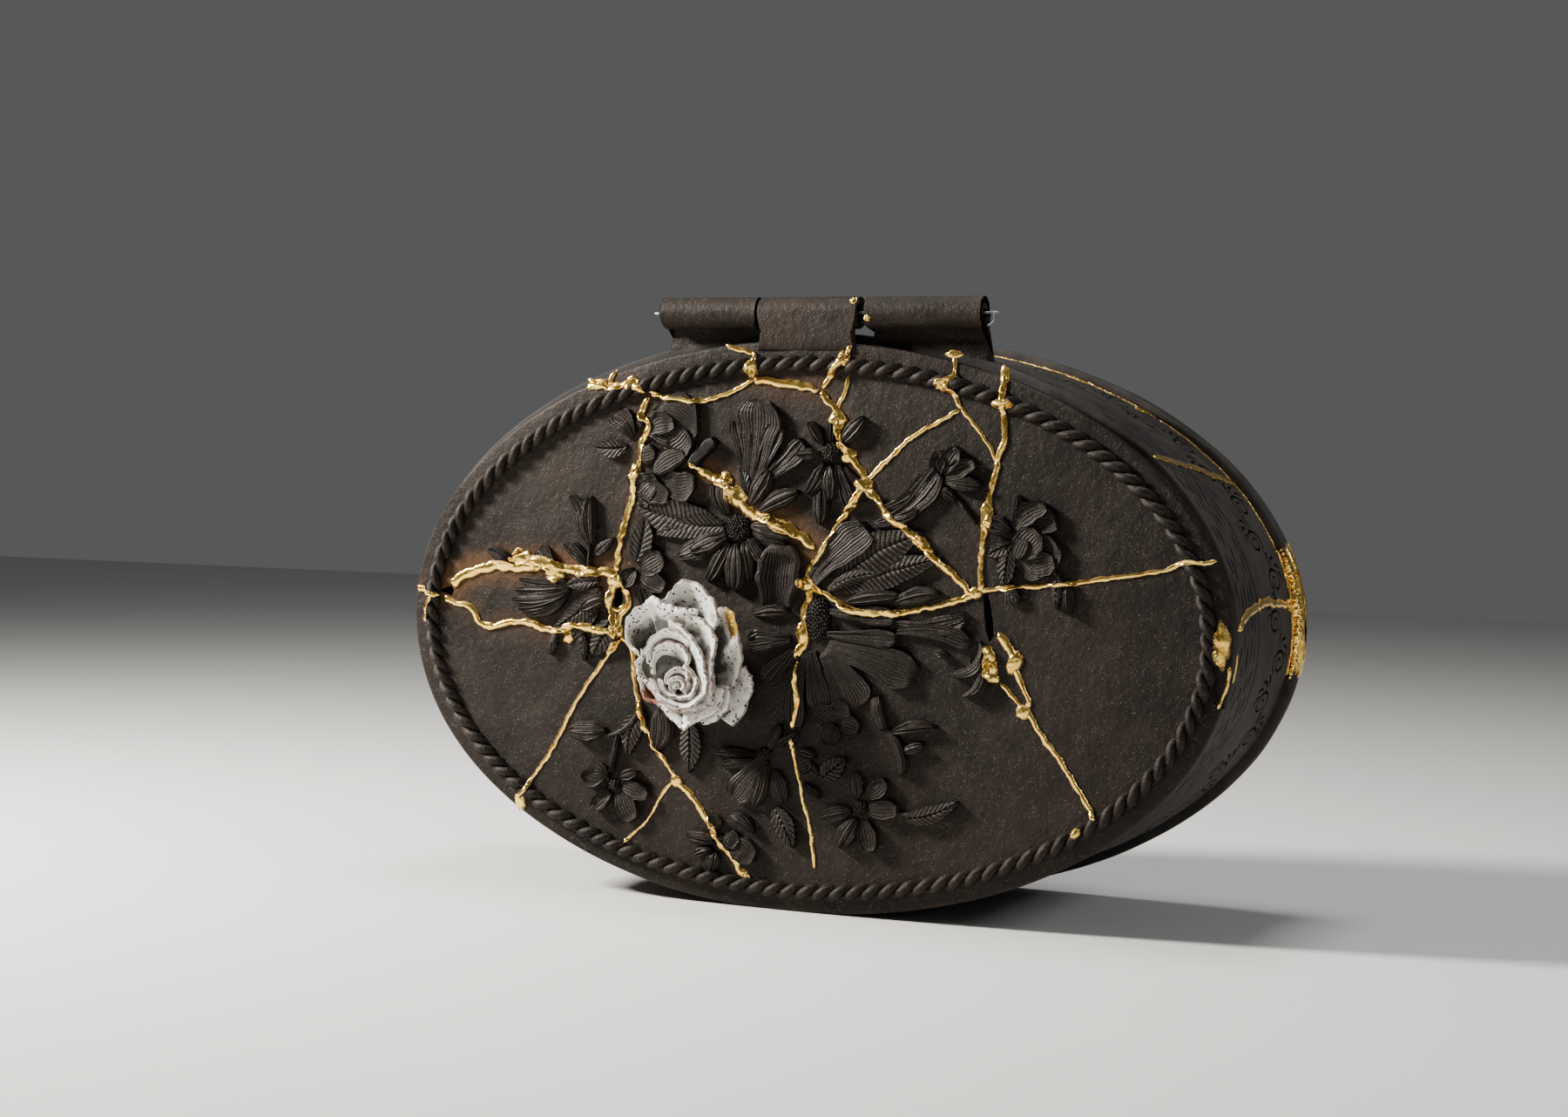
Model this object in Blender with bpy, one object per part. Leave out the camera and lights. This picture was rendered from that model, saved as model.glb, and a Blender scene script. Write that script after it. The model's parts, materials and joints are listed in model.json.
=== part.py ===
# Oval black clay box standing on its long edge, with a lid hinged at the top by three rolled clay
# knuckles on a wire, and a white glazed rose for a knob. Metres, +Z up, the lid faces -Y.
# The origin is the middle of the small flat spot that the box stands on.
import math

import bmesh
import bpy
from mathutils import Matrix, Vector

# Lid: an oval slab of rolled clay
LID_HALF_LENGTH = 0.170
LID_HALF_HEIGHT = 0.110
LID_THICKNESS = 0.008
LID_EDGE_ROUND = 0.002
LID_SHIFT = 0.0015
LID_DROP = 0.0020

# Body: an oval wall on a wider base plate, a little larger than the lid
BODY_OVERREACH_X = 0.0010
BODY_OVERREACH_Z = 0.0015
BODY_HALF_LENGTH = LID_HALF_LENGTH + BODY_OVERREACH_X
BODY_HALF_HEIGHT = LID_HALF_HEIGHT + BODY_OVERREACH_Z
BODY_WALL = 0.007
BODY_RIM_ROUND = 0.001
CAVITY_DEPTH = 0.0917
BASE_THICKNESS = 0.008
BASE_OVERHANG = 0.0035
BASE_EDGE_ROUND = 0.002
GROOVE_WIDTH = 0.0025
GROOVE_DEPTH = 0.0013
OVAL_SEGMENTS = 76

# Stand
FLAT_CUT = 0.0008
LID_FOOT_CLEARANCE = 0.0004
TOUCH_GAP = 0.0003

# Hinge
SLAB = 0.0027
ROLL_RADIUS = 0.0065
ROLL_SEGMENTS = 18
HINGE_RISE = 0.0103
STRAP_CLEARANCE = 0.0008
LEFT_WIDTH = 0.0405
CENTRE_WIDTH = 0.0410
RIGHT_WIDTH = 0.0465
LEFT_GAP = 0.0010
RIGHT_GAP = 0.0030
CENTRE_SHIFT = 0.0010
STRAP_FOOT = 0.0050
STRAP_EMBED = 0.0030
STRAP_FLARE = 0.0060
STRAP_INSET = 0.0003
STRAP_NARROW = 0.0005
LID_STRAP_DROP = 0.0045
WIRE_RADIUS = 0.0005
WIRE_REACH = 0.0035
WIRE_HOOK = 0.0042

# Rope border
ROPE_INSET = 0.0092
ROPE_RADIUS = 0.0035
ROPE_GROOVE_RADIUS = 0.0026
ROPE_PITCH = 0.0062
ROPE_LAY = math.radians(32)
EMBED = 0.0006

# Flowers and leaves
RELIEF = 0.0030
DISC_RELIEF = 0.0038
SMALL_LEAF = 0.0075

# The carving is laid out on a lid of 170 by 110 units from its centre, and grows with the lid
UNIT_X = LID_HALF_LENGTH / 170
UNIT_Z = LID_HALF_HEIGHT / 110

# Fans of leaves and petals: x, z, length and width in units, then heading in degrees, how many,
# and the angle that they spread over
FANS = (
    (-45, 60, 13, 5, 48, 1, 0), (-72, 66, 12, 4.5, 180, 3, 55), (-70, 70, 11, 5, 125, 1, 0),
    (-19, 59, 27, 9, 95, 3, 36), (-18, 53, 27, 6, 45, 2, 16), (-28, 45, 30, 9, 152, 3, 50),
    (-20, 45, 20, 6, 52, 2, 40), (-86, 28, 18, 7, 108, 2, 50), (-88, 20, 13, 4.5, 165, 3, 55),
    (-66, 22, 17, 8, 95, 1, 0), (-99, 8, 12, 5, 172, 5, 140), (-82, 2, 22, 6, 205, 3, 50),
    (-16, 10, 22, 5, 78, 1, 0), (1, 11, 20, 4, 102, 1, 0), (6, 17, 36, 15, 40, 1, 0),
    (16, 17, 36, 8, 20, 3, 36), (24, 11, 28, 7, -6, 2, 22), (32, 42, 32, 8, 40, 2, 15),
    (60, 56, 14, 6, 15, 4, 110), (93, 28, 18, 9, 90, 5, 170), (84, 44, 11, 4, 110, 1, 0),
    (100, 25, 15, 5, -35, 2, 32), (9, -6, 20, 11, 90, 1, 0), (13, 2, 38, 8, 4, 3, 36),
    (30, -7, 26, 10, -24, 2, 22), (60, -12, 14, 4.5, 0, 3, 80), (-70, -39, 19, 6, 200, 2, 26),
    (-60, -41, 13, 6, 255, 1, 0), (-44, -45, 15, 7, 284, 2, 44), (-2, -68, 18, 6, 266, 1, 0),
    (47, -69, 22, 7, 16, 1, 0), (8, -58, 14, 6, 60, 3, 90), (42, -50, 13, 6, 70, 3, 100),
)
# Open flowers: x, z, petal length and width in units, how many petals, disc radius
FLOWERS = (
    (-55, 66, 13, 10, 5, 4), (12, 67, 14, 4.5, 8, 3), (-25, 37, 21, 6.5, 11, 5), (-65, 19, 9, 6, 4, 2),
    (-76, -66, 12, 9, 5, 3), (-9, -49, 13, 7, 5, 3), (-28, -84, 10, 6, 5, 2), (29, -68, 14, 9, 6, 3.5),
)

# Breaks right through the lid: x, z, length and width in units, heading, corners
BREAKS = ((76.5, 8, 15, 5, 92, 6), (-154.5, 8, 7, 5, 175, 3), (-76.5, 9, 9, 4, 84, 5))
CHIP_Z = -15.5 * UNIT_Z
CHIP_LENGTH = 12.5 * UNIT_Z
CHIP_DEPTH = 0.0072

SHARP_ANGLE = math.radians(38)

# Rose knob
ROSE_X = -38.5 * UNIT_X
ROSE_Z = -12.0 * UNIT_Z
ROSE_RADIUS = 0.0285
ROSE_HEIGHT = 0.0270
ROSE_FOOT_RADIUS = 0.010
ROSE_LIFT = 0.0075
ROSE_HEART_RADIUS = 0.013
ROSE_SIDES = 10
HEART_SINK = 0.7
HEART_TURN = 0.15
PETAL_THICKNESS = 0.0034
PETAL_SIDES = 8
PETAL_RINGS_UP = 5
PETAL_TAPER = 0.25
PETAL_SAG = 0.16
PETAL_FLARE = 0.8
PETAL_CUP = 1.3
# Rings of petals: how many, inner and outer radius and foot and tip height as shares of the rose's own
# radius and height, then half their spread and the ring's turn in degrees
PETAL_RINGS = (
    (5, 0.25, 1.00, 0.19, 0.44, 44, 23),
    (4, 0.21, 0.75, 0.27, 0.80, 50, 58),
    (3, 0.14, 0.44, 0.39, 1.00, 58, 81),
)

BACK_Y = (LID_THICKNESS + TOUCH_GAP + CAVITY_DEPTH + BASE_THICKNESS) / 2
LID_FRONT = -BACK_Y
LID_BACK = LID_FRONT + LID_THICKNESS
RIM_Y = LID_BACK + TOUCH_GAP
BASE_Y = BACK_Y - BASE_THICKNESS
BODY_Z = BODY_HALF_HEIGHT - FLAT_CUT
LID_Z = BODY_Z - LID_DROP
LID_X = LID_SHIFT
AXIS_Y = LID_BACK + STRAP_CLEARANCE + SLAB - ROLL_RADIUS
AXIS_Z = LID_Z + LID_HALF_HEIGHT + HINGE_RISE


def clear_scene():
    for item in list(bpy.data.objects):
        bpy.data.objects.remove(item, do_unlink=True)


def new_collection(name):
    collection = bpy.data.collections.new(name)
    bpy.context.scene.collection.children.link(collection)
    return collection


def material(name, colour, roughness, metallic=0.0):
    result = bpy.data.materials.new(name)
    result.use_nodes = True
    shader = result.node_tree.nodes["Principled BSDF"]
    shader.inputs["Base Color"].default_value = (*colour, 1.0)
    shader.inputs["Roughness"].default_value = roughness
    shader.inputs["Metallic"].default_value = metallic
    return result


def to_object(bm, name, collection):
    bmesh.ops.recalc_face_normals(bm, faces=bm.faces)
    mesh = bpy.data.meshes.new(name)
    bm.to_mesh(mesh)
    bm.free()
    result = bpy.data.objects.new(name, mesh)
    collection.objects.link(result)
    return result


def combine(base, tool, operation, use_self=False):
    """Joins the tool to the base or cuts it away, then drops the tool."""
    modifier = base.modifiers.new("combine", "BOOLEAN")
    modifier.operation = operation
    modifier.object = tool
    modifier.solver = "EXACT"
    modifier.use_self = use_self
    bpy.context.view_layer.update()
    evaluated = base.evaluated_get(bpy.context.evaluated_depsgraph_get())
    result = bpy.data.meshes.new_from_object(evaluated)
    base.modifiers.clear()
    base.data = result
    bpy.data.objects.remove(tool, do_unlink=True)


def finish(item, surface, origin):
    """Sets the piece's origin, its material and its smooth shading."""
    item.data.transform(Matrix.Translation(-origin))
    item.location = origin
    item.data.materials.clear()
    item.data.materials.append(surface)
    bm = bmesh.new()
    bm.from_mesh(item.data)
    bmesh.ops.remove_doubles(bm, verts=bm.verts, dist=2e-6)
    bmesh.ops.dissolve_degenerate(bm, dist=2e-6, edges=bm.edges)
    bmesh.ops.triangulate(bm, faces=bm.faces)
    bm.to_mesh(item.data)
    bm.free()
    item.data.shade_smooth()
    item.data.set_sharp_from_angle(angle=SHARP_ANGLE)


def oval_solid(stations, half_length, half_height, centre_x, centre_z, name, collection):
    """An oval body along Y; each station is how far its ring lies outside the oval, and its Y."""
    bm = bmesh.new()
    upright = Matrix.Rotation(math.radians(90), 4, "X")
    previous = None
    for number, (offset, y) in enumerate(stations):
        place = Matrix.Translation((centre_x, y, centre_z))
        size = Matrix.Diagonal((half_length + offset, 1.0, half_height + offset, 1.0))
        capped = number in (0, len(stations) - 1)
        made = bmesh.ops.create_circle(
            bm, cap_ends=capped, segments=OVAL_SEGMENTS, radius=1.0, matrix=place @ size @ upright
        )
        edges = list({edge for vert in made["verts"] for edge in vert.link_edges})
        if previous:
            bmesh.ops.bridge_loops(bm, edges=previous + edges)
        previous = edges
    return to_object(bm, name, collection)


def prism(outline, start, end, name, collection):
    """A flat outline of Y and Z points, drawn out along X."""
    bm = bmesh.new()
    verts = [bm.verts.new((start, y, z)) for y, z in outline]
    face = bmesh.ops.contextual_create(bm, geom=verts)["faces"]
    grown = bmesh.ops.extrude_face_region(bm, geom=face)["geom"]
    moved = [piece for piece in grown if isinstance(piece, bmesh.types.BMVert)]
    bmesh.ops.translate(bm, verts=moved, vec=(end - start, 0, 0))
    return to_object(bm, name, collection)


def rod(radius, start, end, y, z, segments, name, collection):
    bm = bmesh.new()
    turn = Matrix.Rotation(math.radians(90), 4, "Y")
    place = Matrix.Translation(((start + end) / 2, y, z))
    bmesh.ops.create_cone(
        bm, cap_ends=True, segments=segments, radius1=radius, radius2=radius,
        depth=end - start, matrix=place @ turn,
    )
    return to_object(bm, name, collection)


def block(low, high, name, collection):
    bm = bmesh.new()
    size = [top - bottom for bottom, top in zip(low, high)]
    centre = [(top + bottom) / 2 for bottom, top in zip(low, high)]
    place = Matrix.Translation(centre) @ Matrix.Diagonal((*size, 1.0))
    bmesh.ops.create_cube(bm, size=1.0, matrix=place)
    return to_object(bm, name, collection)


def hinge_spans():
    """Where each knuckle starts and ends along X: left, centre, right."""
    middle = LID_X + CENTRE_SHIFT
    centre = (middle - CENTRE_WIDTH / 2, middle + CENTRE_WIDTH / 2)
    left = (centre[0] - LEFT_GAP - LEFT_WIDTH, centre[0] - LEFT_GAP)
    right = (centre[1] + RIGHT_GAP, centre[1] + RIGHT_GAP + RIGHT_WIDTH)
    return left, centre, right


def oval_height(half_length, half_height, x):
    return half_height * math.sqrt(max(0.0, 1 - (x / half_length) ** 2))


def build_body(collection):
    body = oval_solid(
        (
            (-BODY_RIM_ROUND, RIM_Y),
            (0, RIM_Y + BODY_RIM_ROUND),
            (0, BASE_Y - GROOVE_WIDTH),
            (-GROOVE_DEPTH, BASE_Y - GROOVE_WIDTH + GROOVE_DEPTH / 2),
            (-GROOVE_DEPTH, BASE_Y),
            (BASE_OVERHANG - BASE_EDGE_ROUND, BASE_Y + GROOVE_DEPTH / 4),
            (BASE_OVERHANG, BASE_Y + BASE_EDGE_ROUND),
            (BASE_OVERHANG, BACK_Y - BASE_EDGE_ROUND),
            (BASE_OVERHANG - BASE_EDGE_ROUND, BACK_Y),
        ),
        BODY_HALF_LENGTH, BODY_HALF_HEIGHT, 0, BODY_Z, "body", collection,
    )
    left, centre, right = hinge_spans()
    front = AXIS_Y + ROLL_RADIUS - SLAB
    back = AXIS_Y + ROLL_RADIUS - STRAP_INSET
    for start, end in (left, right):
        crest = BODY_Z + oval_height(BODY_HALF_LENGTH, BODY_HALF_HEIGHT, (start + end) / 2)
        low = BODY_Z + oval_height(BODY_HALF_LENGTH, BODY_HALF_HEIGHT, max(abs(start), abs(end)))
        outline = (
            (front, AXIS_Z), (front, low - STRAP_EMBED), (back + STRAP_FLARE, low - STRAP_EMBED),
            (back + STRAP_FLARE, crest + EMBED), (back, crest + STRAP_FOOT), (back, AXIS_Z),
        )
        strap = prism(outline, start + STRAP_NARROW, end - STRAP_NARROW, "strap", collection)
        combine(body, strap, "UNION")
        roll = rod(ROLL_RADIUS, start, end, AXIS_Y, AXIS_Z, ROLL_SEGMENTS, "roll", collection)
        combine(body, roll, "UNION")
    for start, end in (left, right):
        bore = rod(
            ROLL_RADIUS - SLAB, start - LEFT_GAP / 2, end + LEFT_GAP / 2, AXIS_Y, AXIS_Z,
            ROLL_SEGMENTS, "bore", collection,
        )
        combine(body, bore, "DIFFERENCE")
    hollow = oval_solid(
        ((0, RIM_Y - BODY_WALL), (0, BASE_Y)),
        BODY_HALF_LENGTH - BODY_WALL, BODY_HALF_HEIGHT - BODY_WALL, 0, BODY_Z, "hollow", collection,
    )
    combine(body, hollow, "DIFFERENCE")
    reach = BODY_HALF_LENGTH
    ground = block((-reach, -reach, -reach), (reach, reach, 0), "ground", collection)
    combine(body, ground, "DIFFERENCE")
    return body


def add_lens(bm, x, z, length, width, heading, relief):
    """A low leaf or petal of the relief: a shallow peak over a long oval, from its foot outwards."""
    segments = 8 if width > SMALL_LEAF else 6
    middle_x = x + math.cos(heading) * length / 2
    middle_z = z + math.sin(heading) * length / 2
    place = Matrix.Translation((LID_X + middle_x, LID_FRONT + (EMBED - relief) / 2, LID_Z + middle_z))
    turn = Matrix.Rotation(-heading, 4, "Y") @ Matrix.Rotation(math.radians(90), 4, "X")
    size = Matrix.Diagonal((length / 2, width / 2, 1.0, 1.0))
    bmesh.ops.create_cone(
        bm, cap_ends=True, segments=segments, radius1=1.0, radius2=0.0,
        depth=relief + EMBED, matrix=place @ turn @ size,
    )


def add_disc(bm, x, z, radius, relief):
    place = Matrix.Translation((LID_X + x, LID_FRONT + (EMBED - relief) / 2, LID_Z + z))
    turn = Matrix.Rotation(math.radians(90), 4, "X")
    bmesh.ops.create_cone(
        bm, cap_ends=True, segments=8, radius1=radius, radius2=radius * 0.6,
        depth=relief + EMBED, matrix=place @ turn,
    )


def build_flowers(collection):
    bm = bmesh.new()
    lift = 0.0
    for x, z, length, width, heading, count, spread in FANS:
        for number in range(count):
            share = number / (count - 1) - 0.5 if count > 1 else 0.0
            angle = math.radians(heading + spread * share)
            lift = (lift + 0.37) % 1.0
            relief = RELIEF * (0.75 + 0.35 * lift)
            add_lens(bm, x * UNIT_X, z * UNIT_Z, length * UNIT_X, width * UNIT_X, angle, relief)
    for x, z, length, width, petals, disc in FLOWERS:
        for number in range(petals):
            angle = 2 * math.pi * (number + 0.3) / petals
            lift = (lift + 0.37) % 1.0
            relief = RELIEF * (0.8 + 0.3 * lift)
            add_lens(bm, x * UNIT_X, z * UNIT_Z, length * UNIT_X, width * UNIT_X, angle, relief)
        add_disc(bm, x * UNIT_X, z * UNIT_Z, disc * UNIT_X, DISC_RELIEF)
    return to_object(bm, "flowers", collection)


def oval_walk(half_length, half_height):
    """Angles that cut the oval's edge into equal lengths, and the edge's length."""
    fine = 7200
    lengths = [0.0]
    for number in range(fine):
        angle = 2 * math.pi * (number + 0.5) / fine
        pace = math.hypot(half_length * math.sin(angle), half_height * math.cos(angle))
        lengths.append(lengths[-1] + pace * 2 * math.pi / fine)
    total = lengths[-1]

    def angle_at(distance):
        distance %= total
        low, high = 0, fine
        while high - low > 1:
            middle = (low + high) // 2
            if lengths[middle] <= distance:
                low = middle
            else:
                high = middle
        share = (distance - lengths[low]) / (lengths[high] - lengths[low])
        return 2 * math.pi * (low + share) / fine

    return angle_at, total


def build_rope(collection):
    """The twisted rope: rings that lean along the strands, high on a strand and low between two."""
    half_length = LID_HALF_LENGTH - ROPE_INSET
    half_height = LID_HALF_HEIGHT - ROPE_INSET
    angle_at, total = oval_walk(half_length, half_height)
    strands = round(total / ROPE_PITCH)
    bm = bmesh.new()
    rings = []
    for number in range(strands * 2):
        along = total * number / (strands * 2)
        radius = ROPE_GROOVE_RADIUS if number % 2 else ROPE_RADIUS
        ring = []
        for corner in range(4):
            turn = math.pi * corner / 3
            side = radius * math.cos(turn)
            rise = radius * math.sin(turn) if corner in (1, 2) else -EMBED
            angle = angle_at(along - side / math.tan(ROPE_LAY))
            normal = Vector((half_height * math.cos(angle), 0, half_length * math.sin(angle))).normalized()
            ring.append(bm.verts.new((
                LID_X + half_length * math.cos(angle) + normal.x * side,
                LID_FRONT - rise,
                LID_Z + half_height * math.sin(angle) + normal.z * side,
            )))
        rings.append(ring)
    for number, ring in enumerate(rings):
        after = rings[(number + 1) % len(rings)]
        for corner in range(4):
            other = (corner + 1) % 4
            bm.faces.new((ring[corner], ring[other], after[other], after[corner]))
    return to_object(bm, "rope", collection)


def cut_breaks(lid, collection):
    """The small holes where chips of the lid are lost."""
    for x, z, length, width, heading, corners in BREAKS:
        bm = bmesh.new()
        place = Matrix.Translation((LID_X + x * UNIT_X, (LID_FRONT + LID_BACK) / 2, LID_Z + z * UNIT_Z))
        turn = Matrix.Rotation(-math.radians(heading), 4, "Y") @ Matrix.Rotation(math.radians(90), 4, "X")
        size = Matrix.Diagonal((length * UNIT_X / 2, width * UNIT_X / 2, 1.0, 1.0))
        bmesh.ops.create_cone(
            bm, cap_ends=True, segments=corners, radius1=1.0, radius2=0.8,
            depth=LID_THICKNESS * 2, matrix=place @ turn @ size,
        )
        combine(lid, to_object(bm, "break", collection), "DIFFERENCE")
    bm = bmesh.new()
    edge = LID_HALF_LENGTH * math.sqrt(1 - (CHIP_Z / LID_HALF_HEIGHT) ** 2)
    place = Matrix.Translation((LID_X + edge, (LID_FRONT + LID_BACK) / 2, LID_Z + CHIP_Z))
    turn = Matrix.Rotation(math.radians(90), 4, "X")
    size = Matrix.Diagonal((CHIP_DEPTH, CHIP_LENGTH / 2, 1.0, 1.0))
    bmesh.ops.create_cone(
        bm, cap_ends=True, segments=7, radius1=1.0, radius2=0.8,
        depth=LID_THICKNESS * 2, matrix=place @ turn @ size,
    )
    combine(lid, to_object(bm, "chip", collection), "DIFFERENCE")


def build_lid(collection):
    lid = oval_solid(
        (
            (-LID_EDGE_ROUND, LID_FRONT),
            (-LID_EDGE_ROUND * 0.3, LID_FRONT + LID_EDGE_ROUND * 0.3),
            (0, LID_FRONT + LID_EDGE_ROUND),
            (0, LID_BACK - BODY_RIM_ROUND),
            (-BODY_RIM_ROUND, LID_BACK),
        ),
        LID_HALF_LENGTH, LID_HALF_HEIGHT, LID_X, LID_Z, "lid", collection,
    )
    start, end = hinge_spans()[1]
    front = AXIS_Y - ROLL_RADIUS + STRAP_INSET
    middle = (LID_FRONT + LID_BACK) / 2
    top = LID_Z + LID_HALF_HEIGHT
    low = top - LID_STRAP_DROP
    outline = (
        (front, AXIS_Z), (front, low + LID_STRAP_DROP / 2), (LID_FRONT - TOUCH_GAP, low), (middle, low),
        (middle, top + EMBED), (front + SLAB, top + STRAP_EMBED), (front + SLAB, AXIS_Z),
    )
    strap = prism(outline, start + STRAP_NARROW, end - STRAP_NARROW, "strap", collection)
    combine(lid, strap, "UNION")
    combine(lid, rod(ROLL_RADIUS, start, end, AXIS_Y, AXIS_Z, ROLL_SEGMENTS, "roll", collection), "UNION")
    bore = rod(
        ROLL_RADIUS - SLAB, start - LEFT_GAP / 2, end + LEFT_GAP / 2, AXIS_Y, AXIS_Z,
        ROLL_SEGMENTS, "bore", collection,
    )
    combine(lid, bore, "DIFFERENCE")
    combine(lid, build_flowers(collection), "UNION", use_self=True)
    combine(lid, build_rope(collection), "UNION")
    cut_breaks(lid, collection)
    reach = BODY_HALF_LENGTH
    ground = block((-reach, -reach, -reach), (reach, reach, LID_FOOT_CLEARANCE), "ground", collection)
    combine(lid, ground, "DIFFERENCE")
    return lid


def add_petal(bm, turn, half_spread, inner, outer, foot, tip):
    """A cupped petal: a flattened ball bent round the rose's heart and drawn up towards its tip."""
    made = bmesh.ops.create_uvsphere(bm, u_segments=PETAL_SIDES, v_segments=PETAL_RINGS_UP, radius=1.0)
    reach, rise = outer - inner, tip - foot
    steep = math.atan2(rise, reach)
    for vert in made["verts"]:
        across, through = vert.co.x, vert.co.y * PETAL_THICKNESS / 2
        up = (vert.co.z + 1) / 2
        angle = turn + across * half_spread * (1 - PETAL_TAPER * up)
        sag = PETAL_SAG * abs(across) * up
        radius = inner + reach * (up ** PETAL_FLARE - sag) + through * math.sin(steep)
        height = foot + rise * (up ** PETAL_CUP - sag) - through * math.cos(steep)
        vert.co = Vector((radius * math.cos(angle), radius * math.sin(angle), height))
    bmesh.ops.triangulate(bm, faces=bm.faces)
    bmesh.ops.recalc_face_normals(bm, faces=bm.faces)


def build_rose(collection):
    """The knob: a foot, a round heart, and rings of petals that overlap it and one another."""
    bm = bmesh.new()
    bmesh.ops.create_cone(
        bm, cap_ends=True, segments=ROSE_SIDES, radius1=ROSE_FOOT_RADIUS, radius2=ROSE_FOOT_RADIUS,
        depth=ROSE_LIFT * 2, matrix=Matrix.Translation((0, 0, ROSE_LIFT)),
    )
    rose = to_object(bm, "rose_knob", collection)
    bm = bmesh.new()
    bmesh.ops.create_uvsphere(
        bm, u_segments=ROSE_SIDES, v_segments=ROSE_SIDES // 2, radius=ROSE_HEART_RADIUS,
        matrix=Matrix.Translation((0, 0, ROSE_LIFT + ROSE_HEART_RADIUS * HEART_SINK))
        @ Matrix.Rotation(HEART_TURN, 4, "Z"),
    )
    combine(rose, to_object(bm, "heart", collection), "UNION")
    for count, inner, outer, foot, tip, spread, turn in PETAL_RINGS:
        for number in range(count):
            bm = bmesh.new()
            angle = math.radians(turn + 360 * number / count)
            add_petal(
                bm, angle, math.radians(spread), inner * ROSE_RADIUS, outer * ROSE_RADIUS,
                foot * ROSE_HEIGHT, tip * ROSE_HEIGHT,
            )
            combine(rose, to_object(bm, "petal", collection), "UNION")
    face_out = Matrix.Rotation(math.radians(90), 4, "X")
    place = Matrix.Translation((LID_X + ROSE_X, LID_FRONT - TOUCH_GAP, LID_Z + ROSE_Z))
    rose.data.transform(place @ face_out)
    return rose


def build_wire(collection):
    """The grey wire pin, bent over at both ends so that it can't slip out."""
    left, centre, right = hinge_spans()
    curve = bpy.data.curves.new("hinge_wire", "CURVE")
    curve.dimensions = "3D"
    curve.bevel_depth = WIRE_RADIUS
    curve.bevel_resolution = 1
    curve.use_fill_caps = True
    clear = WIRE_RADIUS + TOUCH_GAP
    points = (
        (left[0] - clear, AXIS_Z - WIRE_HOOK), (left[0] - clear, AXIS_Z - WIRE_HOOK / 3),
        (left[0] - clear / 2, AXIS_Z - WIRE_RADIUS / 2), (left[0] + ROLL_RADIUS, AXIS_Z),
        (right[1] - ROLL_RADIUS, AXIS_Z), (right[1] + WIRE_REACH / 2, AXIS_Z),
        (right[1] + WIRE_REACH, AXIS_Z - WIRE_HOOK / 3), (right[1] + WIRE_REACH * 0.8, AXIS_Z - WIRE_HOOK),
        (right[1] + clear, AXIS_Z - WIRE_HOOK * 1.2),
    )
    spline = curve.splines.new("POLY")
    spline.points.add(len(points) - 1)
    for point, (x, z) in zip(spline.points, points):
        point.co = (x, AXIS_Y, z, 1)
    holder = bpy.data.objects.new("hinge_wire_curve", curve)
    collection.objects.link(holder)
    bpy.context.view_layer.update()
    evaluated = holder.evaluated_get(bpy.context.evaluated_depsgraph_get())
    mesh = bpy.data.meshes.new_from_object(evaluated)
    bpy.data.objects.remove(holder, do_unlink=True)
    bm = bmesh.new()
    bm.from_mesh(mesh)
    bmesh.ops.remove_doubles(bm, verts=bm.verts, dist=1e-6)
    return to_object(bm, "hinge_wire", collection)


def main():
    clear_scene()
    collection = new_collection("kintsugi_box")
    clay = material("black_clay", (0.022, 0.018, 0.016), 0.82)
    glaze = material("white_glaze", (0.62, 0.60, 0.57), 0.38)
    steel = material("grey_wire", (0.34, 0.34, 0.35), 0.45, 1.0)
    body = build_body(collection)
    finish(body, clay, Vector((0, 0, 0)))
    axis = Vector((LID_X, AXIS_Y, AXIS_Z))
    lid = build_lid(collection)
    finish(lid, clay, axis)
    rose = build_rose(collection)
    finish(rose, glaze, axis)
    wire = build_wire(collection)
    finish(wire, steel, axis)


main()
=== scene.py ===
# A hinged oval box of black clay, mended with gold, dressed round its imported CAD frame
import json
import math
import random

import bmesh
import bpy
from mathutils import Matrix, Vector, noise
from mathutils.bvhtree import BVHTree


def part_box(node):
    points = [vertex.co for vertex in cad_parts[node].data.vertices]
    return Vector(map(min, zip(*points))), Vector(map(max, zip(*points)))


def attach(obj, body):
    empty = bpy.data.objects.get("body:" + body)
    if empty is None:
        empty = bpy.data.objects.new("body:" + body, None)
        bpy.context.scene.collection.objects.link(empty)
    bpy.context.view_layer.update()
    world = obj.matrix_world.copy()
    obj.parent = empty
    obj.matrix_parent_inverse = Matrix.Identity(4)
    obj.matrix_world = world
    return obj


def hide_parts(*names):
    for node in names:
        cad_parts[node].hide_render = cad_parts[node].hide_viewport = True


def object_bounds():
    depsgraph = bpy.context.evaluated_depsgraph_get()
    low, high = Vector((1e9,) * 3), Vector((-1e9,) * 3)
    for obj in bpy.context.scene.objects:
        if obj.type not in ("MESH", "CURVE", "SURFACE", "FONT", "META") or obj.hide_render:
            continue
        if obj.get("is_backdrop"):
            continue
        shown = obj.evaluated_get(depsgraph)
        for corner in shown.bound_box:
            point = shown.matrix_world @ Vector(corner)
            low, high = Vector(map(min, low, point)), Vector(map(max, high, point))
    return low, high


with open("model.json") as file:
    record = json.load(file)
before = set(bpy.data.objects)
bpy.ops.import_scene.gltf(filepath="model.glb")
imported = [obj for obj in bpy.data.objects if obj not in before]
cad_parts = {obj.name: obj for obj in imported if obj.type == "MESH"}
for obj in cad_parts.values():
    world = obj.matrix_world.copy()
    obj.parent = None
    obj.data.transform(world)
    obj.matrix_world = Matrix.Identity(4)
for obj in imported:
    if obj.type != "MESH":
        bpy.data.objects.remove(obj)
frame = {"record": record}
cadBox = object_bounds()
mm = 0.001
hingeAxis = Vector(frame["record"]["behaviour"]["joints"][0]["pos_m"])
lidLow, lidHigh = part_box("lid")
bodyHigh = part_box("body")[1]
print("frame loaded")


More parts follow.
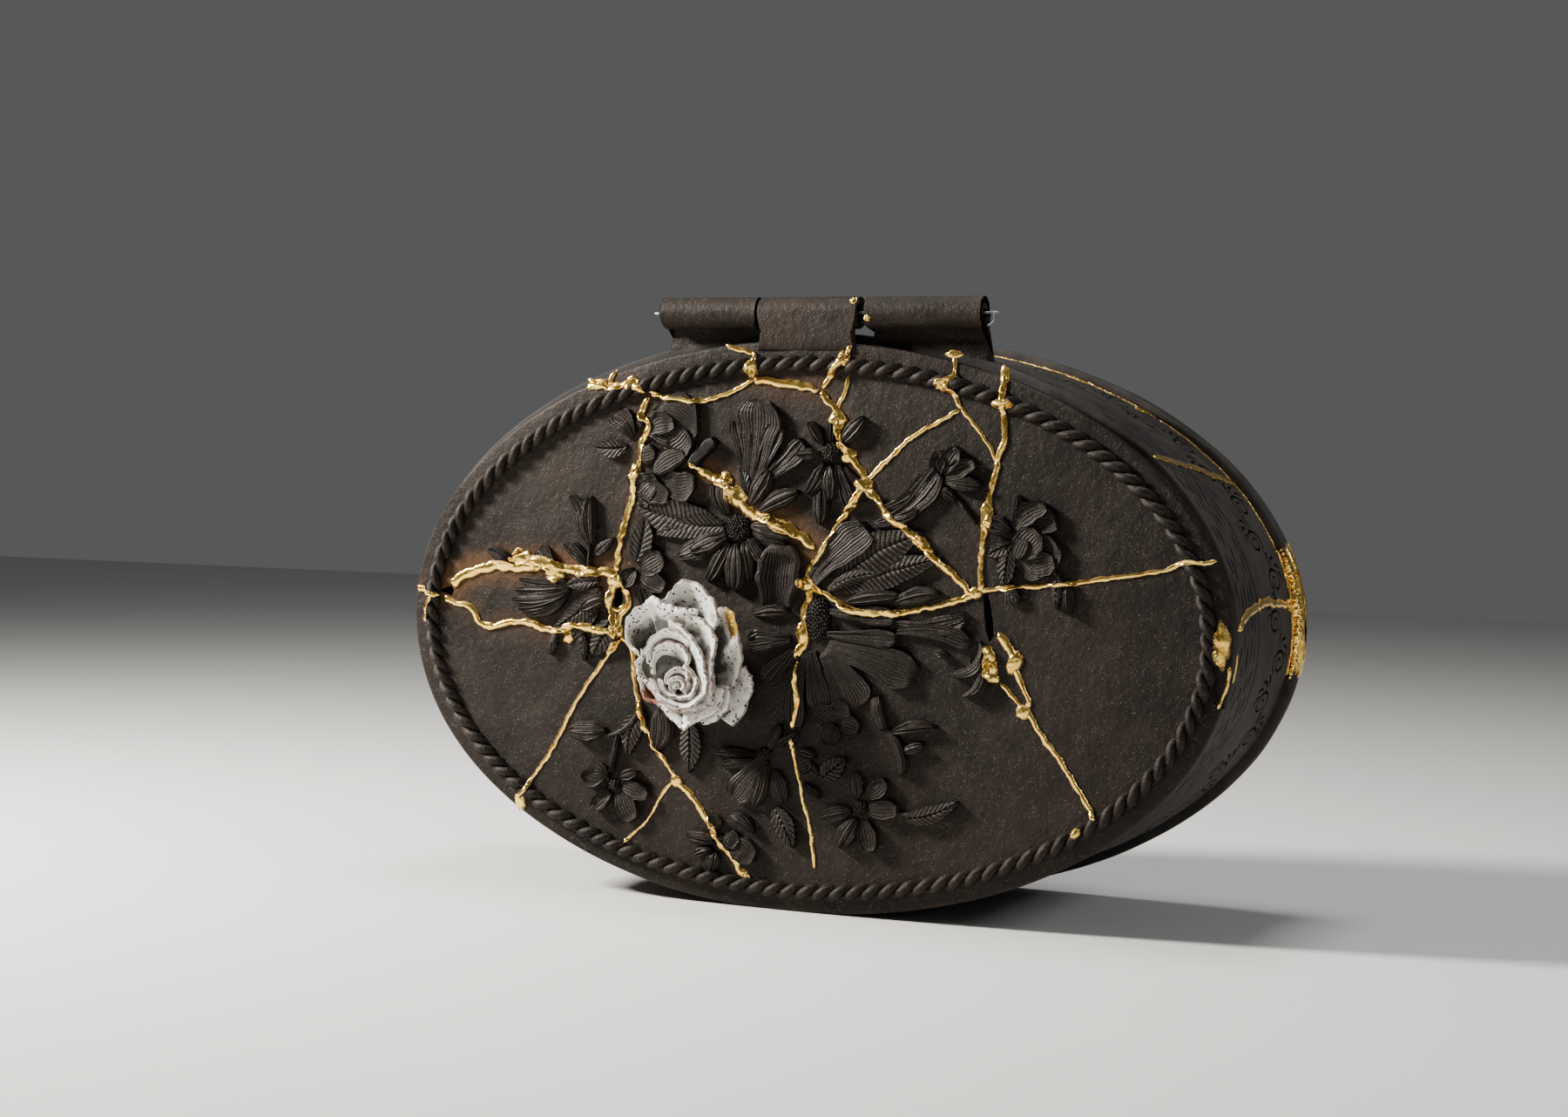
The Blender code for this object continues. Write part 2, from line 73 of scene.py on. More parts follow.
def newObject(bm, name, surface, sharp):
    mesh = bpy.data.meshes.new(name)
    bm.to_mesh(mesh)
    bm.free()
    item = bpy.data.objects.new(name, mesh)
    bpy.context.collection.objects.link(item)
    mesh.materials.append(surface)
    mesh.shade_smooth()
    if sharp:
        mesh.set_sharp_from_angle(angle=math.radians(sharp))
    return item


def applied(item):
    # the mesh with its modifiers worked in
    bpy.context.view_layer.update()
    graph = bpy.context.evaluated_depsgraph_get()
    mesh = bpy.data.meshes.new_from_object(item.evaluated_get(graph))
    item.modifiers.clear()
    item.data = mesh
    return item


def cutAway(item, tool):
    cut = item.modifiers.new("cut", "BOOLEAN")
    cut.operation = "DIFFERENCE"
    cut.object = tool
    cut.solver = "EXACT"
    applied(item)
    bpy.data.objects.remove(tool, do_unlink=True)


def rods(lines, radius, resolution=3, closed=False):
    # round rods along lines of (place, thickness share) pairs
    curve = bpy.data.curves.new("rod", "CURVE")
    curve.dimensions = "3D"
    curve.bevel_depth, curve.bevel_resolution, curve.use_fill_caps = radius, resolution, not closed
    for places in lines:
        line = curve.splines.new("POLY")
        line.points.add(len(places) - 1)
        line.use_cyclic_u = closed
        for point, (place, share) in zip(line.points, places):
            point.co, point.radius = (*place, 1), share
    holder = bpy.data.objects.new("rod", curve)
    bpy.context.collection.objects.link(holder)
    bpy.context.view_layer.update()
    mesh = bpy.data.meshes.new_from_object(holder.evaluated_get(bpy.context.evaluated_depsgraph_get()))
    bpy.data.objects.remove(holder, do_unlink=True)
    bm = bmesh.new()
    bm.from_mesh(mesh)
    bmesh.ops.remove_doubles(bm, verts=bm.verts, dist=1e-7)
    bmesh.ops.recalc_face_normals(bm, faces=bm.faces)
    return bm


def castOver(pieces):
    # a search tree over the pieces, to lay things on them
    bm = bmesh.new()
    for piece in pieces:
        bm.from_mesh(piece.data)
    tree = BVHTree.FromBMesh(bm)
    bm.free()
    return tree


def rough(x, y, z, scale, seed):
    # smooth noise from -1 to 1, with scale in metres
    return noise.noise(Vector((x / scale + seed, y / scale - seed, z / scale + 2.3 * seed)))


def ease(value, low, high):
    share = min(1.0, max(0.0, (value - low) / (high - low)))
    return share * share * (3 - 2 * share)


def smoothPath(points, step):
    # a Catmull-Rom line through the points, cut into equal steps
    dense = []
    for number in range(len(points) - 1):
        a = Vector(points[max(number - 1, 0)])
        b, c = Vector(points[number]), Vector(points[number + 1])
        d = Vector(points[min(number + 2, len(points) - 1)])
        for part in range(12):
            t = part / 12
            dense.append(0.5 * (2 * b + (c - a) * t + (2 * a - 5 * b + 4 * c - d) * t * t
                                + (3 * b - a - 3 * c + d) * t ** 3))
    dense.append(Vector(points[-1]))
    lengths = [0.0]
    for one, two in zip(dense, dense[1:]):
        lengths.append(lengths[-1] + (two - one).length)
    count = max(2, round(lengths[-1] / step))
    path, at = [], 0
    for number in range(count + 1):
        wanted = lengths[-1] * number / count
        while at < len(dense) - 2 and lengths[at + 1] < wanted:
            at += 1
        span = lengths[at + 1] - lengths[at] or 1
        path.append(dense[at].lerp(dense[at + 1], min(1.0, (wanted - lengths[at]) / span)))
    return path


def ovalLoft(bm, stations, segments, shape):
    # rings round an oval, one for each station, joined into a skin; shape gives a point from (station, angle)
    made = bmesh.ops.create_grid(bm, x_segments=segments, y_segments=len(stations) - 1, size=1.0)["verts"]
    for vert in made:
        column = round((vert.co.x + 1) / 2 * segments)
        row = round((vert.co.y + 1) / 2 * (len(stations) - 1))
        vert.co = shape(stations[row], 2 * math.pi * (column % segments) / segments)
    bmesh.ops.remove_doubles(bm, verts=bm.verts, dist=1e-7)
    bmesh.ops.recalc_face_normals(bm, faces=bm.faces)


class Signal:
    # one socket, so that shader maths reads as plain arithmetic
    def __init__(self, tree, socket):
        self.tree, self.socket = tree, socket

    def maths(self, operation, *values):
        made = self.tree.nodes.new("ShaderNodeMath")
        made.operation = operation
        for slot, value in zip(made.inputs, values):
            if isinstance(value, Signal):
                self.tree.links.new(value.socket, slot)
            else:
                slot.default_value = value
        return Signal(self.tree, made.outputs[0])

    def __add__(self, other): return self.maths("ADD", self, other)
    def __radd__(self, other): return self.maths("ADD", other, self)
    def __sub__(self, other): return self.maths("SUBTRACT", self, other)
    def __rsub__(self, other): return self.maths("SUBTRACT", other, self)
    def __mul__(self, other): return self.maths("MULTIPLY", self, other)
    def __rmul__(self, other): return self.maths("MULTIPLY", other, self)
    def wrapped(self): return self.maths("ABSOLUTE", self.maths("FRACT", self) - 0.5)

    def above(self, edge, soft):
        return addNode(self.tree, "ShaderNodeMapRange", {"interpolation_type": "SMOOTHSTEP"},
                       {"Value": self, "From Min": edge - soft, "From Max": edge + soft}, "Result")


def addNode(tree, kind, settings, values, output):
    # a node from its type, its settings, and the values or links of its sockets
    made = tree.nodes.new(kind)
    for key, value in settings.items():
        setattr(made, key, value)
    for key, value in values.items():
        socket = made.inputs[key]
        if isinstance(value, Signal):
            tree.links.new(value.socket, socket)
        else:
            socket.default_value = value
    return Signal(tree, made.outputs[output])


class Finish:
    # a material with one Principled shader, and short ways to the nodes that every finish uses
    def __init__(self, name):
        self.material = bpy.data.materials.new(name)
        self.material.use_nodes = True
        self.tree = self.material.node_tree
        self.shader = self.tree.nodes["Principled BSDF"]
        self.place = self.node("ShaderNodeTexCoord", {}, {}, "Object")

    def node(self, kind, settings, values, output):
        return addNode(self.tree, kind, settings, values, output)

    def noise(self, scale, detail=3.0, roughness=0.55):
        return self.node("ShaderNodeTexNoise", {}, {
            "Vector": self.place, "Scale": scale, "Detail": detail, "Roughness": roughness}, "Fac")

    def cells(self, scale):
        return self.node("ShaderNodeTexVoronoi", {}, {"Vector": self.place, "Scale": scale}, "Distance")

    def mark(self, name):
        return self.node("ShaderNodeAttribute", {"attribute_name": name}, {}, "Fac")

    def mix(self, share, first, second):
        if not isinstance(first, Signal):
            first = (*first, 1)
        if not isinstance(second, Signal):
            second = (*second, 1)
        return self.node("ShaderNodeMix", {"data_type": "RGBA"}, {0: share, 6: first, 7: second}, 2)

    def bump(self, height, distance, strength=1.0, below=None):
        values = {"Height": height, "Distance": distance, "Strength": strength}
        if below:
            values["Normal"] = below
        return self.node("ShaderNodeBump", {}, values, "Normal")

    def put(self, **values):
        for key, value in values.items():
            socket = self.shader.inputs[key.replace("_", " ")]
            if isinstance(value, Signal):
                self.tree.links.new(value.socket, socket)
            else:
                socket.default_value = (*value, 1) if isinstance(value, tuple) else value
        return self.material


def makeLidClay():
    # rough near-black brown clay, with grog specks, scored veins with painted shade in their furrows and wear
    # with a painted highlight on their ridges, a warm haze beside the thick seams, a warm tint on the
    # knuckles as a painted sheen, and the peg coloured near-black
    look = {"dark": (0.0036, 0.0027, 0.0022), "light": (0.0140, 0.0101, 0.0078),
            "hazeAndSheen": (0.080, 0.036, 0.010), "speck": (0.20, 0.175, 0.145),
            "wearAndHighlight": (0.060, 0.049, 0.040), "furrowShade": (0.0026, 0.0021, 0.0018)}
    clay = Finish("blackClay")
    cloud = clay.noise(16, 4)
    blotch = clay.noise(75, 5, 0.65)
    grain = clay.noise(1500, 3, 0.7)
    tone = (cloud * 0.5 + blotch * 0.5).above(0.5, 0.15)
    colour = clay.mix(tone, look["dark"], look["light"])
    # warm tint beside the thick seams; on the knuckles the same tint is a painted warm sheen
    hazeAndSheen = (clay.mark("warmthAndSheen") * (0.2 + blotch * 0.8 + grain * 0.4)).above(0.50, 0.36)
    colour = clay.mix(hazeAndSheen * 0.7, colour, look["hazeAndSheen"])
    speck = (1 - clay.cells(1250)).above(0.83, 0.05) * clay.noise(330, 2).above(0.52, 0.05)
    colour = clay.mix(speck * 0.8, colour, look["speck"])
    carved = clay.mark("carved")
    score = (clay.mark("stripe") + (clay.noise(240, 2) - 0.5) * 0.5).wrapped()
    ridge = score.above(0.17, 0.14)
    # painted shade: the scored furrows of the carving darkened
    colour = clay.mix(carved * (1 - ridge) * 0.7, colour, look["furrowShade"])
    # lighter ridges between the furrows: partly wear, partly painted highlight
    colour = clay.mix(carved * ridge * grain.above(0.50, 0.14) * 0.45, colour, look["wearAndHighlight"])
    # the peg coloured near-black
    colour = clay.mix(clay.mark("pegBlack"), colour, (0.0012, 0.0010, 0.0009))
    height = grain * 0.32 + clay.noise(420, 4, 0.6) * 0.60 + clay.noise(110, 3) * 1.1
    fine = clay.bump(height, 0.0007, 0.8)
    return clay.put(Base_Color=colour, Roughness=0.66 - 0.18 * clay.noise(60, 3) - carved * 0.12,
                    Specular_IOR_Level=0.19, Specular_Tint=(1.0, 0.89, 0.80),
                    Normal=clay.bump(carved * ridge, 0.0009, 1.0, fine))


def makeWallClay():
    # the same clay rubbed smooth: greyer, with a dull sheen, and black where it is engraved
    look = {"dark": (0.018, 0.0160, 0.0148), "light": (0.048, 0.0425, 0.0385), "speck": (0.19, 0.175, 0.16),
            "engraved": (0.0015, 0.0013, 0.0012)}
    clay = Finish("rubbedClay")
    cloud = clay.noise(22, 4)
    blotch = clay.noise(120, 5, 0.6)
    colour = clay.mix((cloud * 0.6 + blotch * 0.4).above(0.5, 0.15), look["dark"], look["light"])
    speck = (1 - clay.cells(1600)).above(0.88, 0.04) * clay.noise(350, 2).above(0.58, 0.04)
    colour = clay.mix(speck * 0.6, colour, look["speck"])
    scored = clay.mark("scored")
    colour = clay.mix(scored.above(0.25, 0.2), colour, look["engraved"])
    height = clay.noise(700, 4, 0.6) * 0.35 + clay.noise(160, 3) * 0.8
    return clay.put(Base_Color=colour, Roughness=0.50 + 0.3 * blotch + scored * 0.3,
                    Specular_IOR_Level=0.11, Specular_Tint=(1.0, 0.95, 0.90),
                    Normal=clay.bump(height, 0.0004, 0.5))


def makeGold():
    # bright lumpy gold, brown along its edges
    look = {"bright": (1.0, 0.69, 0.165), "deep": (0.88, 0.42, 0.042), "brown": (0.050, 0.018, 0.005)}
    gold = Finish("repairGold")
    lumps = gold.noise(260, 5, 0.65)
    fine = gold.noise(1100, 4, 0.6)
    colour = gold.mix(lumps.above(0.42, 0.14), look["deep"], look["bright"])
    edge = (gold.mark("edge") + (fine - 0.5) * 0.7 + (lumps - 0.5) * 0.6).above(0.84, 0.12)
    colour = gold.mix(edge * 0.9, colour, look["brown"])
    return gold.put(Base_Color=colour, Metallic=1 - edge * 0.6, Roughness=0.13 + lumps * 0.14 + edge * 0.40,
                    Normal=gold.bump(lumps + fine * 0.15, 0.0005, 0.4))


def makeGlaze():
    # thick white glaze: olive grey to near-black deep in the petals and on the solid middles, partly pooled
    # glaze and partly painted shade, black specks, brown where it breaks over the rims
    look = {"white": (0.82, 0.80, 0.745), "thin": (0.34, 0.33, 0.295), "poolAndShade": (0.030, 0.030, 0.021),
            "rim": (0.12, 0.060, 0.035), "speck": (0.018, 0.015, 0.013), "rust": (0.20, 0.045, 0.015),
            "gilt": (0.95, 0.6, 0.16)}
    glaze = Finish("whiteGlaze")
    cloud = glaze.noise(120, 4)
    fine = glaze.noise(900, 4, 0.6)
    colour = glaze.mix(cloud.above(0.38, 0.10), look["thin"], look["white"])
    # painted shade deep in the petals and on the solid middles, with some glaze pooling
    poolAndShade = (glaze.mark("hollow") + (glaze.noise(140, 4) - 0.5) * 1.2).above(0.43, 0.26)
    colour = glaze.mix(poolAndShade * 0.94, colour, look["poolAndShade"])
    rim = (glaze.mark("rim") + (fine - 0.5) * 0.8 + (cloud - 0.5) * 1.1).above(0.86, 0.12)
    colour = glaze.mix(rim * 0.85, colour, look["rim"])
    rust = (glaze.mark("rust") + (glaze.noise(300, 4) - 0.5) * 1.2).above(0.50, 0.14)
    colour = glaze.mix(rust * 0.9, colour, look["rust"])
    size = glaze.noise(200, 2) * 0.22
    speck = (1 - glaze.cells(460) + size).above(0.87, 0.03) * glaze.noise(150, 1).above(0.38, 0.06)
    colour = glaze.mix(speck, colour, look["speck"])
    gilt = (glaze.mark("gilt") + (fine - 0.5) * 0.7).above(0.55, 0.12)
    colour = glaze.mix(gilt, colour, look["gilt"])
    return glaze.put(Base_Color=colour, Metallic=gilt, Roughness=0.22 + fine * 0.2 + speck * 0.3 + rim * 0.15,
                     Normal=glaze.bump(glaze.noise(330, 3) - speck * 0.7 + fine * 0.12, 0.0006, 0.55))


def makeWire():
    wire = Finish("greyWire")
    stain = wire.noise(420, 4)
    colour = wire.mix(stain.above(0.5, 0.2), (0.30, 0.29, 0.28), (0.56, 0.55, 0.53))
    return wire.put(Base_Color=colour, Metallic=0.9, Roughness=0.34 + stain * 0.25,
                    Normal=wire.bump(wire.noise(1800, 3), 0.0001, 0.5))


def makeFloor():
    floor = Finish("paleFloor")
    return floor.put(Base_Color=floor.mix(floor.noise(3, 3), (0.60, 0.59, 0.57), (0.66, 0.65, 0.63)),
                     Roughness=0.85)


lidClay, wallClay, gold = makeLidClay(), makeWallClay(), makeGold()
glaze, wireSteel, floorPaint = makeGlaze(), makeWire(), makeFloor()
print("finishes made")

lid = {
    "halfLength": (lidHigh.x - lidLow.x) / 2, "halfHeight": 0.110, "thickness": 0.008, "edgeRound": 0.0014,
    "hingeRise": 0.0103, "aheadOfAxis": 0.005, "rings": 46, "segments": 240, "wander": 0.00055,
    "tintingSeams": ("leftEnd", "leftUpper", "leftLower", "upLeft", "topBar", "seedSeam", "spine",
                "tangleLeft", "cornerLeft"),
}
lidX = (lidHigh.x + lidLow.x) / 2
lidZ = hingeAxis.z - lid["hingeRise"] - lid["halfHeight"]
lidFront = hingeAxis.y - lid["aheadOfAxis"]
lidBack = lidFront + lid["thickness"]
footZ = lidLow.z


def onLid(x, z, proud=0.0):
    # a place on the lid's face from millimetres right and up of its middle
    return Vector((lidX + x * mm, lidFront - proud * mm, lidZ + z * mm))


# the gold seams: width in millimetres, then the places that each runs through
lidSeams = {
    "leftEnd": (3.4, (-169, 9.5), (-165, 8), (-160, 6), (-157, 6)),
    "leftDown": (2.6, (-160, 6), (-163, 0), (-163, -5)),
    "leftUpper": (5.2, (-153, 10.3), (-149, 13), (-143, 16.5), (-136, 18), (-130, 19.5), (-120, 18.5),
                  (-112, 21), (-107, 20), (-100, 19), (-90, 18.5), (-80, 18), (-77, 16)),
    "leftLower": (3.6, (-156, 5.5), (-148, 3), (-142, 1), (-140, -2), (-137, -5), (-130, -5), (-125, -3.5),
                  (-117, -3), (-108, -5.5), (-101, -6), (-97, -4), (-92, -3.5), (-85, -4.5), (-77, -5)),
    "tangleLeft": (3.4, (-77, 18), (-79, 12), (-80, 5), (-78, 0), (-77, -5)),
    "tangleRight": (3.0, (-77, 18), (-73, 10), (-72, 5), (-75, 1), (-77, -5)),
    "tangleCross": (2.2, (-80, 5), (-76.5, 3.5), (-73.5, 6)),
    "upLeft": (3.4, (-65, 88), (-68, 80), (-64, 77), (-67, 70), (-68, 63), (-70, 58), (-70, 52), (-72, 45),
               (-75, 35), (-77, 25), (-78, 18)),
    "downLeft": (2.2, (-75, -8), (-83, -18), (-92, -31), (-98, -41), (-104, -53), (-110, -61), (-116, -71),
                 (-118, -73), (-119, -79)),
    "underRose": (2.7, (-76, -6), (-71, -10), (-69, -15), (-68, -25), (-66, -32), (-63, -40), (-58, -50),
                  (-53, -56), (-49, -61)),
    "forkLeft": (1.7, (-49, -61), (-54, -66), (-58, -73), (-62, -79), (-67, -84), (-71, -88)),
    "forkRight": (3.1, (-49, -61), (-42, -68), (-36, -75), (-31, -82), (-28, -86), (-24, -90), (-21, -95),
                  (-16, -97)),
    "topArc": (2.4, (-65, 89), (-56, 87), (-44, 86), (-34, 88), (-23, 93), (-20, 95)),
    "topLeftRim": (2.6, (-33, 108), (-27, 106), (-20, 104), (-20, 100), (-21, 95)),
    "topBar": (3.8, (-21, 95), (-14, 94), (-7, 93), (7, 91)),
    "topFork": (2.6, (8, 91), (14, 99), (17, 103), (20, 108)),
    "topLoop": (2.0, (19, 97), (18, 91), (15, 85), (14, 82)),
    "spine": (3.6, (9, 91), (9, 88), (13, 84), (16, 81), (16, 76), (17, 70), (22, 64), (25, 60), (27, 56)),
    "kite": (2.3, (27, 56), (38, 67), (46, 74), (57, 80), (64, 84)),
    "kiteTop": (2.6, (64, 84), (62, 89), (57, 93), (61, 97), (61, 104)),
    "kiteRight": (2.0, (63.5, 85.5), (65, 84), (71, 77), (78, 67), (79, 64)),
    "rimRight": (3.0, (81, 98), (81, 90), (81, 84), (82, 74), (80, 69), (79, 64)),
    "rightDown": (3.0, (79.3, 66), (79, 62), (78, 58), (76, 49), (75, 41), (74, 32), (74, 25), (74, 18),
                  (73, 16)),
    "diagonal": (3.4, (27, 55), (30, 52), (38, 43), (47, 37), (56, 28), (63, 23), (70, 16), (73, 16)),
    "branch": (3.0, (27, 54), (21, 46), (15, 38), (10, 28), (5, 23), (4, 17)),
    "seedSeam": (4.6, (-46, 62), (-44, 60), (-35, 56), (-27, 51), (-21, 44), (-12, 41), (-2, 37), (7, 30)),
    "lowArc": (3.2, (5, 17), (10, 14), (16, 11), (22, 8), (31, 7), (41, 7), (51, 9), (63, 12), (73, 16)),
    "stem": (3.9, (5, 17), (5, 13), (3, 5), (4, -4), (2, -8), (1, -12)),
    "stemThin": (2.4, (1, -11), (1, -22), (2, -28), (1, -34), (0, -39)),
    "stemLow": (2.0, (0, -42), (1, -50), (3, -58), (5, -66), (8, -76), (10, -88), (10, -92)),
    "rightEnd": (2.3, (74, 16), (76, 17), (89, 19), (101, 20), (115, 22), (132, 25), (144, 27), (151, 30),
                 (158, 30), (163, 31)),
    "slotLeft": (4.6, (77, -3), (79, -8), (78, -12), (82, -17)),
    "slotLeftLow": (2.4, (82, -17), (86, -20), (92, -26)),
    "slotRight": (4.2, (81, 2), (84, -2), (87, -6), (88, -10)),
    "slotRightLow": (2.6, (88, -10), (91, -17), (94, -23), (93, -26)),
    "lowRight": (2.8, (93, -26), (100, -36), (108, -46), (115, -56), (121, -65)),
    "cornerLeft": (3.4, (-93, 94), (-87, 92), (-82, 91), (-72, 93), (-70, 91), (-66, 89)),
    "cornerSpur": (2.6, (-82, 91), (-82, 95), (-80, 98)),
    "chipLine": (1.6, (168.5, -6), (168, -12), (164.5, -22)),
}
# drops and fills of gold: x, z, half length, half width, turn in degrees, height, all in millimetres
lidDrops = [
    (-114, 20.5, 7, 3.4, 5, 1.1), (-70, 58, 3.4, 2.6, 80, 1.3), (-88, 92, 4.5, 2.2, 10, 0.8),
    (-73, 93, 3.2, 2.2, 60, 0.9), (-120, 22, 5, 3.4, 20, 1.2), (-105, 17, 5, 3.2, -20, 1.3),
    (-122, 24, 3, 2.2, 40, 1.0), (-98, -7.5, 2.4, 3.4, 0, 1.2), (-26, 50, 5.5, 4, -30, 1.6),
    (-31, 56, 3, 3, 0, 1.2),
    (-7, 38.5, 5, 2.6, -20, 1.4), (27, 55, 3, 3.4, 80, 1.5), (15, 80, 2.8, 4, 80, 1.4),
    (20, 66, 2.4, 3.6, -60, 1.3),
    (-21, 99, 2.9, 3.5, 0, 1.5), (17, 103, 2.4, 3.0, 30, 1.3), (61, 104.5, 3.6, 1.6, 0, 0.7),
    (57, 93, 3.2, 2.4, 0, 1.4),
    (81, 97, 1.9, 4.0, 0, 0.8), (81, 86, 4.2, 2.0, 0, 1.3), (76, 45, 2.6, 6, 5, 1.3),
    (51, 33, 2.4, 5.2, 45, 1.4),
    (4, 17, 3.2, 3, 0, 1.6), (3, -2, 2.8, 5, 0, 1.5), (92, -27, 3, 3, 0, 1.2), (72, 16, 2.8, 2.2, 0, 1.2),
    (-78, 15, 3.4, 3, 0, 1.5), (-76.5, -5, 3, 2.6, 0, 1.4), (114, -70, 2.4, 1.6, 40, 0.8),
    (-49, -62, 2.6, 2.4, 0, 1.2),
    (-118, -75, 2.4, 3.4, 20, 1.4), (88, -9, 2.6, 4.6, -25, 1.3), (79, -11, 2.4, 4.6, 10, 1.4),
    (165.6, 1.0, 3.0, 8.6, 0, 0.7),
]
# holes and the broken edge: corners in millimetres from the lid's middle
lidBreaks = [
    [(75.0, 15.5), (76.6, 16.5), (78.0, 12), (79.2, 5), (79.6, 0.5), (78.2, -2), (76.6, 1.5), (75.6, 8)],
    [(-158.5, 8), (-152.5, 10.5), (-151, 8.5), (-152, 6)],
    [(-78.6, 13), (-75.4, 13.5), (-74.6, 8), (-75.2, 4), (-78, 4.5), (-79.2, 9)],
    [(172, -9.5), (166, -9), (162.5, -11), (161.5, -15), (163, -19.5), (166.5, -22.5), (172, -21)],
]


def warmthAt(point, seams):
    # how near a place is to a thick seam
    best = 0.0
    for width, places in seams:
        for place in places:
            gap = math.hypot(point[0] - place[0], point[1] - place[1])
            best = max(best, (width - 2.2) / 2.6 * math.exp(-(gap / 8.5) ** 2))
    return min(1.0, best)


def buildSlab():
    halfX, halfZ = lid["halfLength"] - 0.0003, lid["halfHeight"] - 0.0003
    curve = lid["edgeRound"]
    stations = [(0.0, 0, lidBack), (0.5, 0, lidBack), (0.93, 0, lidBack), (1.0, -0.001, lidBack),
                (1.0, 0, lidBack - 0.001)]
    stations += [(1.0, 0, lidBack - 0.0025), (1.0, 0, lidFront + curve)]
    for step in range(1, 5):
        turn = math.pi / 2 * step / 4
        stations.append((1.0, -curve * (1 - math.cos(turn)), lidFront + curve * (1 - math.sin(turn))))
    stations += [((1 - step / lid["rings"]) * (1 - curve / halfX), -curve * (1 - step / lid["rings"]),
                  lidFront) for step in range(1, lid["rings"] + 1)]

    def shape(station, angle):
        share, offset, y = station
        bend = rough(math.cos(angle), math.sin(angle), 0, 0.35, 3) * 0.0006 * share
        x = (halfX * share + offset + bend * 0.5 - 0.0003 * share) * math.cos(angle)
        z = (halfZ * share + offset + bend - 0.0003 * share) * math.sin(angle)
        if y < lidFront + 0.0004:
            y += lid["wander"] * (rough(x, 0, z, 0.035, 1) + 0.5 * rough(x, 0, z, 0.011, 2))
        return Vector((lidX + x, y, max(footZ, lidZ + z)))

    bm = bmesh.new()
    ovalLoft(bm, stations, lid["segments"], shape)
    slab = newObject(bm, "lidSlab", lidClay, 30)
    for corners in lidBreaks:
        bm = bmesh.new()
        outline = [bm.verts.new(onLid(x, z, 6)) for x, z in corners]
        face = bmesh.ops.contextual_create(bm, geom=outline)["faces"]
        grown = bmesh.ops.extrude_face_region(bm, geom=face)["geom"]
        far = [part for part in grown if isinstance(part, bmesh.types.BMVert)]
        bmesh.ops.translate(bm, verts=far, vec=(0, 0.020, 0))
        bmesh.ops.recalc_face_normals(bm, faces=bm.faces)
        cutAway(slab, newObject(bm, "break", lidClay, 0))
    thick = [(lidSeams[name][0], smoothPath(lidSeams[name][1:], 5)) for name in lid["tintingSeams"]]
    # a warm tint on the clay near the thick seams
    marks = slab.data.attributes.new("warmthAndSheen", "FLOAT", "POINT")
    for vert, mark in zip(slab.data.vertices, marks.data):
        outside = vert.co.y < lidFront + lid["edgeRound"]
        mark.value = warmthAt(((vert.co.x - lidX) / mm, (vert.co.z - lidZ) / mm), thick) if outside else 0.0
    slab.data.set_sharp_from_angle(angle=math.radians(30))
    return slab


slab = buildSlab()
print("lid slab made")

rope = {
    "inset": 0.0092, "spread": 0.00152, "strand": 0.0018, "pitch": 0.0138, "perTurn": 16,
    "centreProud": 0.0002,
}


def ovalTable(halfX, halfZ, fine=3600):
    lengths = [0.0]
    for number in range(fine):
        angle = 2 * math.pi * (number + 0.5) / fine
        pace = math.hypot(halfX * math.sin(angle), halfZ * math.cos(angle))
        lengths.append(lengths[-1] + pace * 2 * math.pi / fine)
    return lengths


def angleOn(lengths, distance):
    distance %= lengths[-1]
    low, high = 0, len(lengths) - 1
    while high - low > 1:
        middle = (low + high) // 2
        low, high = (middle, high) if lengths[middle] <= distance else (low, middle)
    share = (distance - lengths[low]) / (lengths[high] - lengths[low])
    return 2 * math.pi * (low + share) / (len(lengths) - 1)


def buildRope():
    # two strands twisted round each other, laid on the lid a little inside its edge
    halfX, halfZ = lid["halfLength"] - rope["inset"], lid["halfHeight"] - rope["inset"]
    lengths = ovalTable(halfX, halfZ)
    turns = round(lengths[-1] / rope["pitch"])
    strands = []
    for strand in (0, 1):
        places = []
        count = turns * rope["perTurn"]
        for number in range(count):
            along = lengths[-1] * number / count
            angle = angleOn(lengths, along)
            out = Vector((halfZ * math.cos(angle), 0, halfX * math.sin(angle))).normalized()
            uneven = noise.noise(Vector((math.cos(angle) * 5, math.sin(angle) * 5, 0.4)))
            turn = 2 * math.pi * number / rope["perTurn"] + math.pi * strand + 0.9 * uneven
            spread = rope["spread"] * (1 + 0.10 * noise.noise(Vector((along * 160, strand * 7.0, 0))))
            side, rise = -spread * math.sin(turn), spread * math.cos(turn) + rope["centreProud"]
            thick = 1 + 0.10 * noise.noise(Vector((along * 210, strand * 3.0 + 5, 1)))
            places.append(((lidX + halfX * math.cos(angle) + out.x * side, lidFront - rise,
                            lidZ + halfZ * math.sin(angle) + out.z * side), thick))
        strands.append(places)
    return newObject(rods(strands, rope["strand"], 3, True), "lidRope", lidClay, 0)


ropePiece = buildRope()
print("rope made")

leaves = {
    "across": 14, "along": 18, "relief": 0.0033, "embed": 0.0008, "seed": 11, "score": 1.25,
    "highest": 3.74, "seedHighest": 3.75, "grain": 0.62,
}
